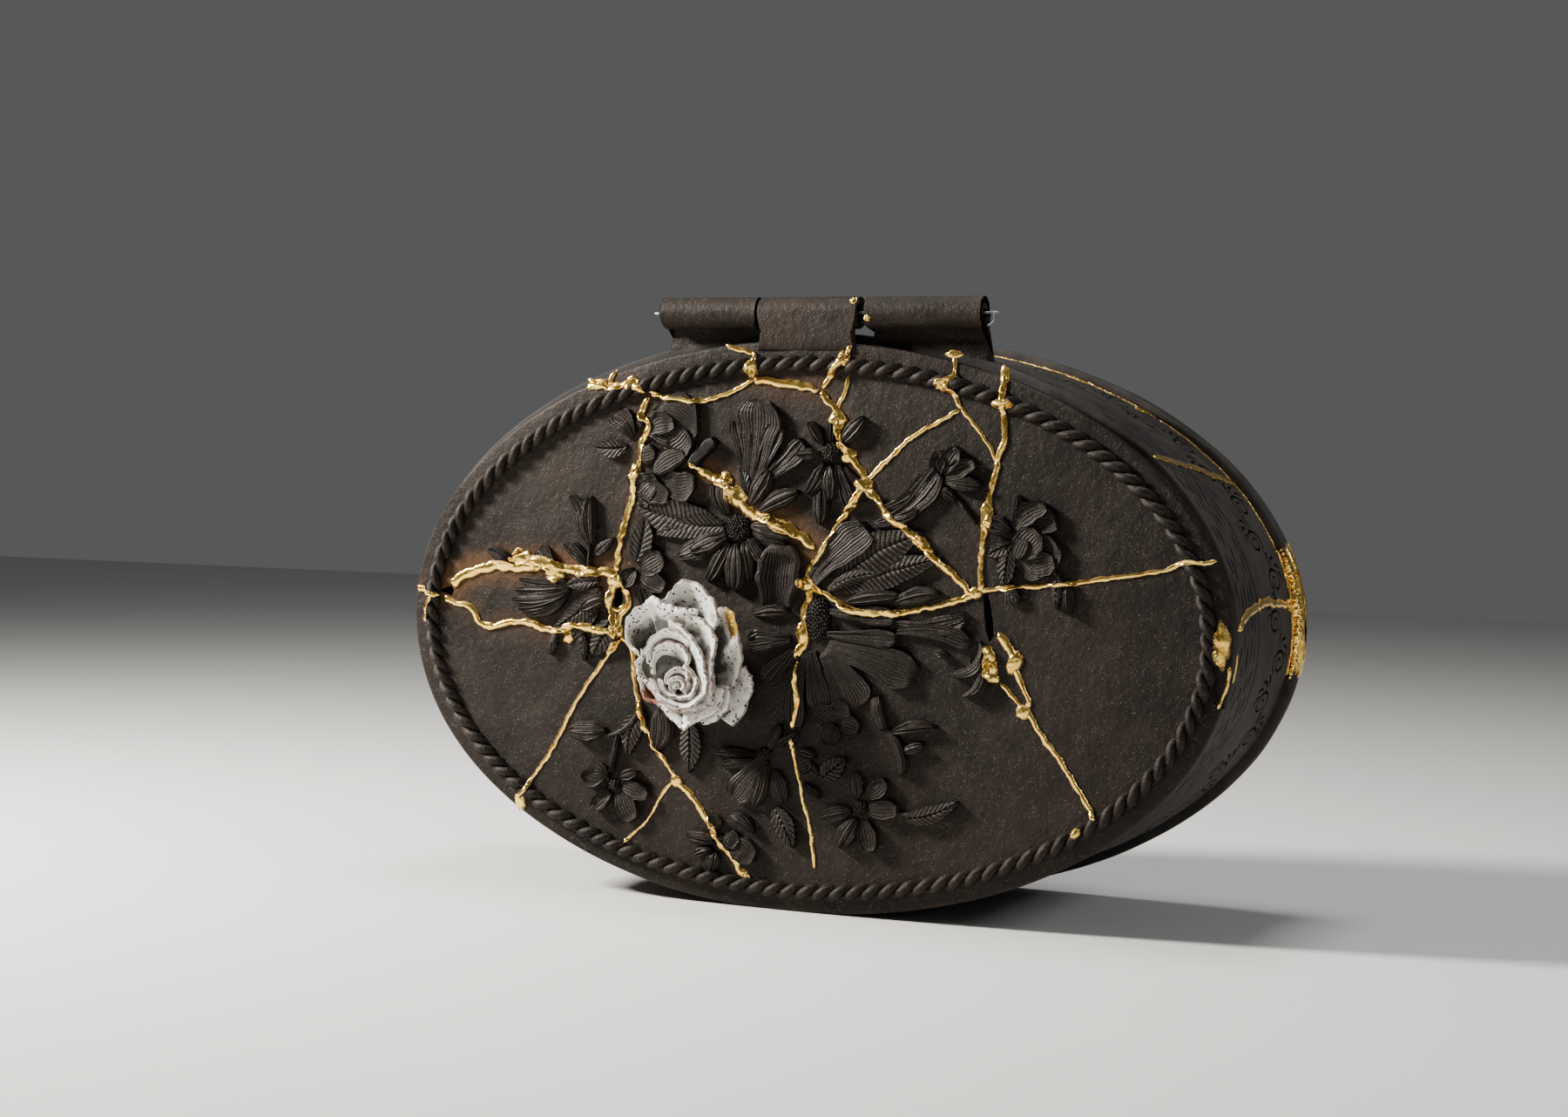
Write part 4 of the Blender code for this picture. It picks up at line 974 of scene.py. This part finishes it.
def wallStrokes():
    # five groups of strokes, none of which crosses another of its group
    rng = random.Random(engraving["seed"])
    groups = [[] for _ in range(5)]
    for row in engraving["rows"]:
        arc = engraving["from"] + rng.uniform(0, 9)
        while arc < engraving["to"]:
            plain = arc > engraving["plainFrom"]
            long, tilt = rng.uniform(4, 10), rng.uniform(-0.9, 0.9)
            groups[0].append([(arc + long * part / 4,
                               row + tilt * (part / 4 - 0.5) + 0.5 * math.sin(part * 1.9 + arc))
                              for part in range(5)])
            arc += long + engraving["dashPitch"] * rng.uniform(0.35, 1.0) * (2 if plain else 1)
    number, arc = 0, engraving["from"] + 10
    while arc < engraving["to"] - 8:
        hand = 1 if number % 2 else -1
        middleY = engraving["scrollY"] + hand * engraving["scrollRise"]
        curl = [(arc - 12 + part * 2.2, middleY - hand * (10.0 - 0.7 * part ** 1.2)) for part in range(5)]
        for part in range(19):
            turn = -hand * math.pi / 2 - 0.35 * hand + hand * 2 * math.pi * engraving["curlTurns"] * part / 18
            far = engraving["curl"] * (1 - 0.80 * part / 18)
            curl.append((arc + far * math.cos(turn), middleY + engraving["tall"] * far * math.sin(turn)))
        groups[1 + number % 2].append(curl)
        if arc < engraving["plainFrom"]:
            for leaflet in range(engraving["leaflets"]):
                turn = hand * (-0.5 + 0.52 * leaflet)
                places = []
                for part in range(5):
                    far = engraving["curl"] + 1.0 + part * 1.25 * (1 - 0.12 * leaflet)
                    bent = turn + hand * 0.045 * part ** 1.8
                    places.append((arc + far * math.cos(bent),
                                   middleY + engraving["tall"] * far * math.sin(bent) * 0.75))
                groups[3 + number % 2].append(places)
        arc += engraving["scrollPitch"]
        number += 1
    return groups


def engrave(piece):
    for group in wallStrokes():
        lines = []
        for stroke in group:
            path = smoothPath(stroke, 1.3)
            places = [wallSurface(place.x, place.y) for place in path]
            last = len(path) - 1
            lines.append([(place + out * engraving["proud"], 0.65 + 0.35 * math.sin(math.pi * number / last))
                          for number, (place, out) in enumerate(places)])
        cutAway(piece, newObject(rods(lines, engraving["radius"], 0), "graver", wallClay, 0))
    marks = piece.data.attributes.new("scored", "FLOAT", "POINT")
    for vert, mark in zip(piece.data.vertices, marks.data):
        far = wallTree.find_nearest(vert.co)[3]
        ruled = abs(vert.co.y - body["lineY"]) < 0.0004
        mark.value = max(min(1.0, far / (engraving["radius"] / 2)), ruled)
    piece.data.set_sharp_from_angle(angle=math.radians(35))


engrave(shell)
print("wall engraved")
leftKnuckle = buildKnuckle("leftKnuckle", knuckle["left"], False, lidClay)
rightKnuckle = buildKnuckle("rightKnuckle", knuckle["right"], False, lidClay)
centreKnuckle = buildKnuckle("centreKnuckle", knuckle["centre"], True, lidClay)
print("knuckles rolled")

seam = {
    "step": 0.8, "height": 0.95, "sink": 0.5, "wander": 0.5, "taper": 0.45, "margin": 0.00005,
    "climbFrom": 0.3 * mm, "climbMost": 2.2 * mm, "climbShare": 0.8,
    "profile": (0, 28, 58, 90, 122, 152, 180, 225, 270, 315),
}
lidTree = castOver([slab, ropePiece, flowerPiece, seedPiece, centreKnuckle])
ahead = Vector((0, 1, 0))


def lidSurface(x, z):
    start = onLid(x, z, 12)
    hit, *_ = lidTree.ray_cast(start, ahead, 0.018)
    return (hit if hit else onLid(x, z, -0.6)), -ahead


def arcAt(degrees):
    # millimetres round the wall from its right end, from degrees on the oval
    share = (degrees % 360) / 360 * (len(wallLengths) - 1)
    low = int(share)
    high = min(low + 1, len(wallLengths) - 1)
    far = wallLengths[low] + (wallLengths[high] - wallLengths[low]) * (share - low)
    return (far - (wallLengths[-1] if degrees % 360 > 180 else 0)) / mm


def addSeam(bm, edgeMark, points, width, surface):
    # a lumpy bead along the line, laid on what is under it, sunk a little and closed below
    path = smoothPath(points, seam["step"])
    count = len(path) - 1
    columns = len(seam["profile"])
    bases = []
    for number, place in enumerate(path):
        before, after = path[max(number - 1, 0)], path[min(number + 1, count)]
        way = (after - before).normalized()
        side = Vector((-way.y, way.x))
        drift = seam["wander"] * (noise.noise(Vector((place.x * 0.35, place.y * 0.35, 1.7)))
                                  + 0.6 * noise.noise(Vector((place.x * 1.1, place.y * 1.1, 4.7))))
        place = place + side * drift * min(1.0, width / 3)
        reach = []
        for hand in (0, 1):
            swell = noise.noise(Vector((place.x * 0.22, place.y * 0.22, 3.0 + hand * 5)))
            ripple = noise.noise(Vector((place.x * 0.8, place.y * 0.8, 8.0 + hand * 5)))
            reach.append(width / 2 * (0.80 + 0.55 * swell + 0.22 * ripple))
        pinch = min(1.0, 0.02 + min(number, count - number) * seam["taper"])
        if number in (0, count):
            pinch = 0.0
        bases.append((place, side, [one * pinch for one in reach], pinch))
    rows = []
    for place, side, reach, pinch in bases:
        row = []
        for degrees in seam["profile"]:
            across = math.cos(math.radians(degrees))
            far = across * (reach[0] if across > 0 else reach[1])
            row.append(surface(place.x + side.x * far, place.y + side.y * far))
        rows.append(row)
    grid = bmesh.ops.create_grid(bm, x_segments=columns, y_segments=count, size=1.0)["verts"]
    for vert in grid:
        column = round((vert.co.x + 1) / 2 * columns) % columns
        row = round((vert.co.y + 1) / 2 * count)
        degrees = seam["profile"][column]
        place, side, reach, pinch = bases[row]
        here, out = rows[row][column]
        level = 0.0
        for step in (-2, -1, 1, 2):
            climb = (rows[min(count, max(0, row + step))][column][0] - here).dot(out)
            if climb > seam["climbFrom"]:
                level = max(level, min(seam["climbMost"], climb) * seam["climbShare"])
        crown = math.sin(math.radians(degrees))
        lump = 1 + 0.40 * noise.noise(here * 110) + 0.10 * noise.noise(here * 420)
        if crown > 0:
            proud = seam["height"] * min(1.25, width / 3.2) * crown ** 0.75 * lump * pinch - 0.10
        else:
            proud = -seam["sink"] * abs(crown) - 0.15
        vert.co = here + out * (level + proud * mm)
        vert[edgeMark] = abs(math.cos(math.radians(degrees))) if crown >= 0 else 1.0


def addDrop(bm, edgeMark, x, z, halfLong, halfWide, turn, height, surface):
    # a flattened drop of gold with an uneven outline
    ball = bmesh.ops.create_icosphere(bm, subdivisions=4, radius=1.0)["verts"]
    swing = math.radians(turn)
    for vert in ball:
        a, b, c = vert.co
        flat = math.hypot(a, c)
        outline = 1 + 0.28 * noise.noise(Vector((a * 1.6 + x, c * 1.6 + z, 2.0))) + 0.14 * noise.noise(
            Vector((a * 5 + x, c * 5 + z, 6.0)))
        far, wide = a * halfLong * outline, c * halfWide * outline
        here, out = surface(x + far * math.cos(swing) - wide * math.sin(swing),
                            z + far * math.sin(swing) + wide * math.cos(swing))
        lump = 1 + 0.35 * noise.noise(here * 300) + 0.14 * noise.noise(here * 800)
        proud = height * max(0.0, -b) ** 0.8 * lump - 0.5 * max(0.0, b) - 0.08
        vert.co = here + out * proud * mm
        vert[edgeMark] = min(1.0, flat) if b <= 0.02 else 1.0


def addChip(bm, edgeMark, place, radius):
    # a small fill of gold on a chipped corner
    for vert in bmesh.ops.create_icosphere(bm, subdivisions=3, radius=1.0)["verts"]:
        bulge = 1 + 0.45 * noise.noise(vert.co * 1.7 + Vector(place) * 900)
        vert.co = Vector(place) + vert.co * radius * bulge
        vert[edgeMark] = 0.3


def finishGold(bm, name):
    for vert in bm.verts:
        vert.co = [min(high - seam["margin"], max(low + seam["margin"], value))
                   for value, low, high in zip(vert.co, *cadBox)]
    bmesh.ops.remove_doubles(bm, verts=bm.verts, dist=2e-6)
    bmesh.ops.dissolve_degenerate(bm, dist=1e-6, edges=bm.edges)
    bmesh.ops.recalc_face_normals(bm, faces=bm.faces)
    return newObject(bm, name, gold, 0)


def buildLidGold():
    bm = bmesh.new()
    edgeMark = bm.verts.layers.float.new("edge")
    for width, *points in lidSeams.values():
        addSeam(bm, edgeMark, points, width, lidSurface)
    for x, z, halfLong, halfWide, turn, height in lidDrops:
        addDrop(bm, edgeMark, x, z, halfLong, halfWide, turn, height, lidSurface)
    addChip(bm, edgeMark, (knuckle["centre"][1] - 0.0016, hingeAxis.y - 0.0042, hingeAxis.z + 0.0040), 0.0016)
    return finishGold(bm, "lidGold")


lidGold = buildLidGold()
print("gold of the lid laid")

# the wall's seams: width in millimetres, then places as degrees round the oval and millimetres along Y
wallSeams = {
    "crackUpper": (3.8, (36.5, -45), (36.0, -31.4), (34.7, -2.9), (33.0, 17.6), (32.1, 32.8), (31, 43.5)),
    "crackLower": (4.2, (2.0, -45), (4.5, -34.1), (6.7, -1.8), (6.0, 25), (5.6, 43.8)),
    "jointTop": (2.0, (86, 42.5), (80, 42.8), (74, 42.4), (66, 42.9), (60, 42.4), (54, 42.8), (48, 42.6)),
    "jointMiddle": (2.2, (48, 42.6), (44, 42.9), (40, 42.5), (34, 42.7), (28, 42.4), (22, 42.7),
                    (17, 42.8)),
    "jointSide": (3.2, (17, 42.8), (12, 42.4), (7, 42.8), (2, 42.6), (-3, 42.9), (-9, 43)),
    "jointTopThick": (3.4, (69.5, 43.6), (66, 44), (62, 43.4), (58.6, 44)),
    "edgeSide": (4.6, (15, 47), (11, 49), (6, 50.5), (1, 50), (-4, 51), (-9, 49)),
    "edgeSpur": (2.2, (13, 49), (14.5, 52.2), (18, 51)),
    "chipSide": (1.5, (-1.5, -45), (-4.0, -44.9), (-8, -44.6)),
}
wallDrops = [
    (72, 42, 4, 1.3, 0, 0.7), (66, 41.6, 7, 1.9, 0, 0.9), (61.5, 41.8, 6, 2.2, 0, 0.9),
    (56, 42, 3, 1.3, 0, 0.7),
    (50.5, 40, 2.8, 4.2, 20, 0.9), (44, 42, 3, 1.2, 0, 0.6), (32, 42, 3, 2.0, 0, 0.8),
    (5.6, 40, 4, 3, 90, 0.9),
    (13, 47.4, 9, 3.4, 8, 0.8), (8, 47.8, 9, 5.0, 6, 0.8), (0.5, 48.2, 9, 5.2, 0, 0.8),
    (-4, 48.4, 8, 4.0, -6, 0.7),
]

# the corner under the base plate's overhang, filled with gold: degrees round the body, then millimetres
jointFill = {"from": 16.5, "to": -9.5, "step": 0.85, "y": 45.2, "proud": 1.3, "radius": 2.2}


def buildBodyGold():
    bm = bmesh.new()
    edgeMark = bm.verts.layers.float.new("edge")
    for width, *points in wallSeams.values():
        addSeam(bm, edgeMark, [(arcAt(degrees), y) for degrees, y in points], width, wallSurface)
    for degrees, y, halfLong, halfWide, turn, height in wallDrops:
        addDrop(bm, edgeMark, arcAt(degrees), y, halfLong, halfWide, turn, height, wallSurface)
    for number in range(int((jointFill["from"] - jointFill["to"]) / jointFill["step"]) + 1):
        degrees = jointFill["from"] - number * jointFill["step"]
        here, out = wallSurface(arcAt(degrees), jointFill["y"] - 6)
        place = here + out * jointFill["proud"] * mm
        share = (degrees - jointFill["to"]) / (jointFill["from"] - jointFill["to"])
        swell = (0.25 + 0.85 * math.sin(math.pi * share) ** 0.7) * (0.9 + 0.5 * rough(degrees, 0, 0, 2.0, 7))
        addChip(bm, edgeMark, (place.x, jointFill["y"] * mm, place.z), jointFill["radius"] * swell * mm)
    addChip(bm, edgeMark, (knuckle["right"][0] + 0.0014, hingeAxis.y - 0.0056, hingeAxis.z - 0.0024), 0.0014)
    return finishGold(bm, "bodyGold")


bodyGold = buildBodyGold()
print("gold of the body laid")

# the rose knob, laid out as the photograph shows it from its heart: right and up as seen, height off the lid
rose = {
    "x": -38.5, "z": -23.3, "heart": 24, "wide": 1.058, "tall": 0.957, "leanX": 0.483, "leanZ": 0.083,
    "across": 30, "along": 11, "thickness": 0.0015, "lowest": 1.2, "highest": 29.4,
    # each petal: where its root lies from the heart as a share of its rim, the root's height, how cupped
    # it is, how far its lip rolls out in millimetres, then the places along its rim
    "petals": [
        (0.45, 5, 0.9, 1.5, (-14.6, 12.7, 13), (-18.5, 15.8, 14), (-21.1, 20, 15), (-20.4, 25.8, 16),
         (-17.3, 29.8, 17.5),
         (-12.7, 31.5, 19), (-7.3, 30.6, 20), (-3.1, 27.7, 20.5)),
        (0.42, 5, 0.5, 1.0, (-8.5, 31.5, 18), (-5.5, 35.5, 18), (-3.1, 38.8, 17.5), (0.4, 42.7, 17),
         (5, 42.9, 16.5),
         (9.6, 40.6, 17), (13.5, 36.2, 17.5), (16.3, 30.8, 18), (16.6, 25.8, 18)),
        (0.55, 12, 0.7, 2.6, (-12.4, 32.0, 21.5), (-9.8, 35.2, 23), (-6.9, 32.9, 23.5), (-3.1, 31.7, 24),
         (1.5, 30.8, 24.5),
         (5.4, 31.4, 24.5), (8.5, 30.8, 24)),
        (0.45, 6, 0.95, 1.6, (15.4, 31.0, 20), (19.2, 30.9, 20), (22.3, 26.2, 19.5), (23.8, 20, 19),
         (24.9, 14.6, 18),
         (24.6, 8.5, 17), (23.8, 3.8, 16.5), (22.4, 0.5, 16)),
        (0.55, 2.5, 0.1, 0.3, (27.6, 9.5, 6.5), (30.2, 3.8, 6.5), (29.8, -2.3, 6.5), (26.9, -9.2, 7),
         (22.6, -14.6, 8)),
        (0.45, 5, 0.8, 2.0, (21.8, 2.0, 15.5), (20.6, -5.4, 15), (18.5, -10, 14.5), (14.6, -13.3, 14),
         (10.8, -14.1, 14)),
        (0.42, 5, 0.7, 2.0, (-5.6, -8.0, 15.5), (-2.2, -12.6, 16), (1.2, -15.0, 16.5), (3.8, -17.4, 17.5),
         (5.9, -15.1, 17.5),
         (10, -12.9, 17.5), (14.6, -10.6, 18), (18.4, -5.8, 18), (19.4, 0.8, 18)),
        (0.45, 5, 0.8, 1.6, (-15.0, 10.0, 15.5), (-15.4, 4.6, 16), (-14.6, 0, 16.5), (-12.5, -5, 17),
         (-8.0, -7.2, 17),
         (-4.6, -8.4, 16)),
        (0.5, 9, 0.8, 1.4, (-14.2, 14.2, 18.5), (-15.8, 8.5, 19), (-14.0, 3.8, 19.5), (-11.2, 1.2, 20.5),
         (-7.7, 0.0, 21)),
        (0.5, 9, 0.8, 1.8, (-11.9, 1.2, 20), (-8.8, -3.8, 21), (-4.6, -7.9, 21.5), (0.8, -10.2, 22),
         (4.6, -10.9, 22.5),
         (10, -9.2, 22.5), (14.4, -5, 22), (15.6, 1.2, 22), (15.0, 6.5, 22)),
        (0.45, 12, 0.9, 1.6, (-11.2, 8.6, 20.5), (-12.2, 14.6, 21.5), (-10.6, 18.7, 23), (-6.9, 21.6, 24),
         (-2.3, 22.3, 24.5),
         (2.3, 21.2, 25), (5.6, 18.6, 25)),
        (0.5, 10, 0.9, 2.2, (3.2, 27.4, 24.5), (6.9, 28.3, 25.5), (11.2, 26.5, 26), (14.5, 22.3, 26.5),
         (15.6, 16.9, 26),
         (14.6, 10.8, 25), (14.2, 4.6, 24), (14.6, -1.6, 22.5)),
        (0.5, 12, 0.9, 1.8, (-3.4, 27.0, 24.5), (0.6, 25.2, 25.5), (4.2, 22.1, 26.5), (7.9, 17.9, 26.5),
         (10.4, 11.5, 26),
         (12.4, 5.4, 25), (12.6, -0.8, 24)),
        (0.4, 13, 0.95, 1.2, (-9.8, 4.8, 20.5), (-9.9, 11.5, 21.5), (-6.9, 16.0, 22.5), (-2.3, 17.0, 23),
         (1.5, 15.2, 23.5),
         (3.9, 11.6, 23.5), (3.0, 8.8, 23)),
        (0.4, 13, 0.95, 1.6, (-10.8, 3.2, 23), (-7.9, -2.3, 25), (-2.3, -6.3, 26), (3.8, -7.6, 26.5),
         (8.5, -4.6, 26.5),
         (11.3, -0.4, 26.5), (10.9, 4.6, 26.5), (9.2, 9.2, 26), (7.7, 13.4, 25.5), (5.4, 16.4, 25)),
        (0.3, 15, 0.95, 0.9, (-6.4, 3.0, 22), (-4.6, -1.2, 23), (0.2, -4.0, 24), (5.2, -3.2, 24.5),
         (7.0, 1.2, 24.5),
         (5.8, 5.6, 24), (2.2, 8.6, 23.5)),
        (0.3, 16, 0.95, 0.8, (-3.3, 0.6, 23), (-2.9, 4.6, 24), (0.8, 6.4, 24.5), (3.6, 4.2, 24.5),
         (4.1, 0.8, 24),
         (2.6, -2.4, 23.5)),
        (0.2, 17, 0.95, 0.5, (0.2, -2.4, 23.5), (-1.8, -0.8, 24), (-1.2, 1.8, 24.5), (1.2, 2.4, 24.5),
         (2.2, 0.6, 24.2),
         (1.2, -1.0, 24)),
    ],
    # solid middles: right, up, height of the middle, radius, half height
    "cores": [(-4, 7, 8.6, 12.5, 8.0), (2.5, 3, 11, 9, 7.5), (0.2, 0.4, 20, 1.5, 3.6)],
    "rustAt": (-16.2, -5.4, 5.5), "giltAt": (19.5, 25, 4.5, 8.0),
}


def onRose(right, up, height):
    lean = height - rose["heart"]
    return onLid(rose["x"] + right * rose["wide"] + lean * rose["leanX"],
                 rose["z"] + up * rose["tall"] + lean * rose["leanZ"], height)


def addRosePetal(bm, marks, number, spec):
    # a cupped sheet from its root to a ruffled rim that rolls outward
    rootShare, rootHeight, cup, roll, *rim = spec
    made = bmesh.ops.create_grid(bm, x_segments=rose["across"], y_segments=rose["along"], size=1.0)["verts"]
    line = smoothPath(rim, 0.1)
    for vert in made:
        u, v = (vert.co.x + 1) / 2, (vert.co.y + 1) / 2
        edge = line[round(u * (len(line) - 1))]
        flat = Vector((edge.x, edge.y))
        out = flat.normalized()
        wave = noise.noise(Vector((edge.x * 0.16, edge.y * 0.16, number * 3.7)))
        ruffle = noise.noise(Vector((edge.x * 0.42, edge.y * 0.42, number * 5.1)))
        tear = noise.noise(Vector((edge.x * 0.8, edge.y * 0.8, number * 2.3))) * v ** 6
        bow, bowl = math.sin(v * math.pi / 2), 1 - math.cos(v * math.pi / 2)
        ahead = (1 - cup) * v + cup * bow
        rise = (1 - cup) * v + cup * bowl
        lip = max(0.0, (v - 0.72) / 0.28)
        place = flat * (rootShare + (1 - rootShare) * ahead)
        place += out * (roll * (0.9 * lip ** 1.4 - 0.55) + (1.1 * ruffle + 0.6 * wave) * v * v + 0.8 * tear)
        height = rootHeight + (edge.z - rootHeight) * rise
        height += 0.5 * roll * (math.sin(lip * math.pi) - 0.9 * lip ** 2) + 1.0 * ruffle * v * v + 0.9 * tear
        vert.co = onRose(place.x, place.y, min(rose["highest"], max(rose["lowest"], height)))
        ends = max(ease(u, 0.95, 1.0), ease(1 - u, 0.95, 1.0)) * ease(v, 0.3, 0.8)
        vert[marks["rim"]] = max(ease(v, 0.84, 1.0), 0.8 * ends)
        # how deep in the petal: the mask for the painted shade of the hollows
        vert[marks["hollow"]] = (1 - ease(v, 0.30, 0.92)) * (0.75 + 0.5 * wave)
    faces = list({face for vert in made for face in vert.link_faces})
    bmesh.ops.recalc_face_normals(bm, faces=faces)
    bmesh.ops.solidify(bm, geom=faces, thickness=rose["thickness"])


def buildRose():
    bm = bmesh.new()
    marks = {name: bm.verts.layers.float.new(name) for name in ("rim", "hollow", "rust", "gilt")}
    for number, spec in enumerate(rose["petals"]):
        addRosePetal(bm, marks, number, spec)
    for right, up, height, radius, tall in rose["cores"]:
        for vert in bmesh.ops.create_icosphere(bm, subdivisions=4, radius=1.0)["verts"]:
            a, b, c = vert.co * (1 + 0.06 * noise.noise(vert.co * 3))
            middle = onRose(right, up, height)
            vert.co = middle + Vector((a * radius, b * tall, c * radius)) * mm
            # the big middles take the painted shade of the hollows
            vert[marks["hollow"]] = 0.9 if radius > 2 else 0.0
    for vert in bm.verts:
        a = (vert.co.x - lidX) / mm - rose["x"]
        b = (vert.co.z - lidZ) / mm - rose["z"]
        rustX, rustZ, rustWide = rose["rustAt"]
        giltX, giltZ, giltWide, giltTall = rose["giltAt"]
        vert[marks["rust"]] = math.exp(-((a - rustX) / rustWide) ** 2 - ((b - rustZ) / rustWide) ** 2)
        vert[marks["gilt"]] = math.exp(-((a - giltX) / giltWide) ** 2 - ((b - giltZ) / giltTall) ** 2)
    bmesh.ops.recalc_face_normals(bm, faces=bm.faces)
    item = newObject(bm, "roseKnob", glaze, 0)
    smooth = item.modifiers.new("smooth", "SUBSURF")
    smooth.levels = smooth.render_levels = 1
    return applied(item)


rosePiece = buildRose()
print("rose made")

wire = {"radius": 0.0005, "hook": 0.0042, "reach": 0.0033}


def buildWire():
    left, right = knuckle["left"][0], knuckle["right"][1]
    axisY, axisZ = hingeAxis.y, hingeAxis.z
    clear, hook, reach = wire["radius"] + 0.0003, wire["hook"], wire["reach"]
    points = [(left - clear, -hook), (left - clear, -hook / 3), (left - clear / 2, -0.0002),
              (left + 0.006, 0), (right - 0.006, 0), (right + reach * 0.4, 0.0001),
              (right + reach * 0.85, -hook * 0.15),
              (right + reach, -hook * 0.5), (right + reach * 0.75, -hook * 0.9),
              (right + clear, -hook * 1.1)]
    path = smoothPath([Vector((x, z)) for x, z in points], 0.0008)
    line = [((place.x, axisY, axisZ + place.y), 1) for place in path]
    return newObject(rods([line], wire["radius"]), "hingeWire", wireSteel, 0)


wirePiece = buildWire()
print("wire bent")

for piece in (slab, ropePiece, flowerPiece, seedPiece, centreKnuckle):
    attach(piece, "lid")
for piece in (shell, leftKnuckle, rightKnuckle):
    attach(piece, "box")
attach(lidGold, "lid")
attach(bodyGold, "box")
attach(rosePiece, "lid")
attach(wirePiece, "box")
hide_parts("lid")
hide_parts("body")
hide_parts("rose_knob")
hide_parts("hinge_wire")

stage = {"floorSize": 6.0, "worldLight": 0.11, "worldColour": (0.92, 0.93, 0.95)}
bm = bmesh.new()
bmesh.ops.create_grid(bm, x_segments=24, y_segments=24, size=stage["floorSize"] / 2)
floor = newObject(bm, "floor", floorPaint, 0)
floor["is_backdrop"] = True

world = bpy.data.worlds.new("studio")
bpy.context.scene.world = world
world.use_nodes = True
world.node_tree.nodes["Background"].inputs[0].default_value = (*stage["worldColour"], 1)
world.node_tree.nodes["Background"].inputs[1].default_value = stage["worldLight"]


def addLight(name, place, target, power, size, colour=(1, 1, 1)):
    lamp = bpy.data.lights.new(name, "AREA")
    lamp.energy, lamp.size, lamp.color = power, size, colour
    holder = bpy.data.objects.new(name, lamp)
    bpy.context.collection.objects.link(holder)
    holder.location = place
    holder.rotation_euler = (Vector(target) - Vector(place)).to_track_quat("-Z", "Y").to_euler()
    holder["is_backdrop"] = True


boxMiddle = (0, 0, bodyZ)
addLight("keyLight", (-0.78, -0.36, 0.62), boxMiddle, 38, 0.16, (1, 0.96, 0.90))
addLight("sideLight", (1.2, -0.30, 0.9), boxMiddle, 5.5, 0.4, (0.95, 0.97, 1))
addLight("topLight", (0.0, 0.10, 1.25), boxMiddle, 9, 0.35)

view = {
    "lens": 60.0, "place": (0.3944, -0.9712, 0.1598), "right": (0.9165, 0.3991, 0.0269),
    "up": (-0.0346, 0.0121, 0.9993), "ahead": (-0.3985, 0.9168, -0.0249),
}
camera = bpy.data.cameras.new("camera")
camera.lens = view["lens"]
camera.sensor_width = 36
cameraHolder = bpy.data.objects.new("camera", camera)
bpy.context.collection.objects.link(cameraHolder)
turned = Matrix((view["right"], view["up"], [-part for part in view["ahead"]])).transposed().to_4x4()
cameraHolder.matrix_world = Matrix.Translation(view["place"]) @ turned
bpy.context.scene.camera = cameraHolder
print("stage set")


def corners(box):
    return [[round(float(value), 6) for value in corner] for corner in box]


{"cad": corners(cadBox), "visual": corners(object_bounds())}
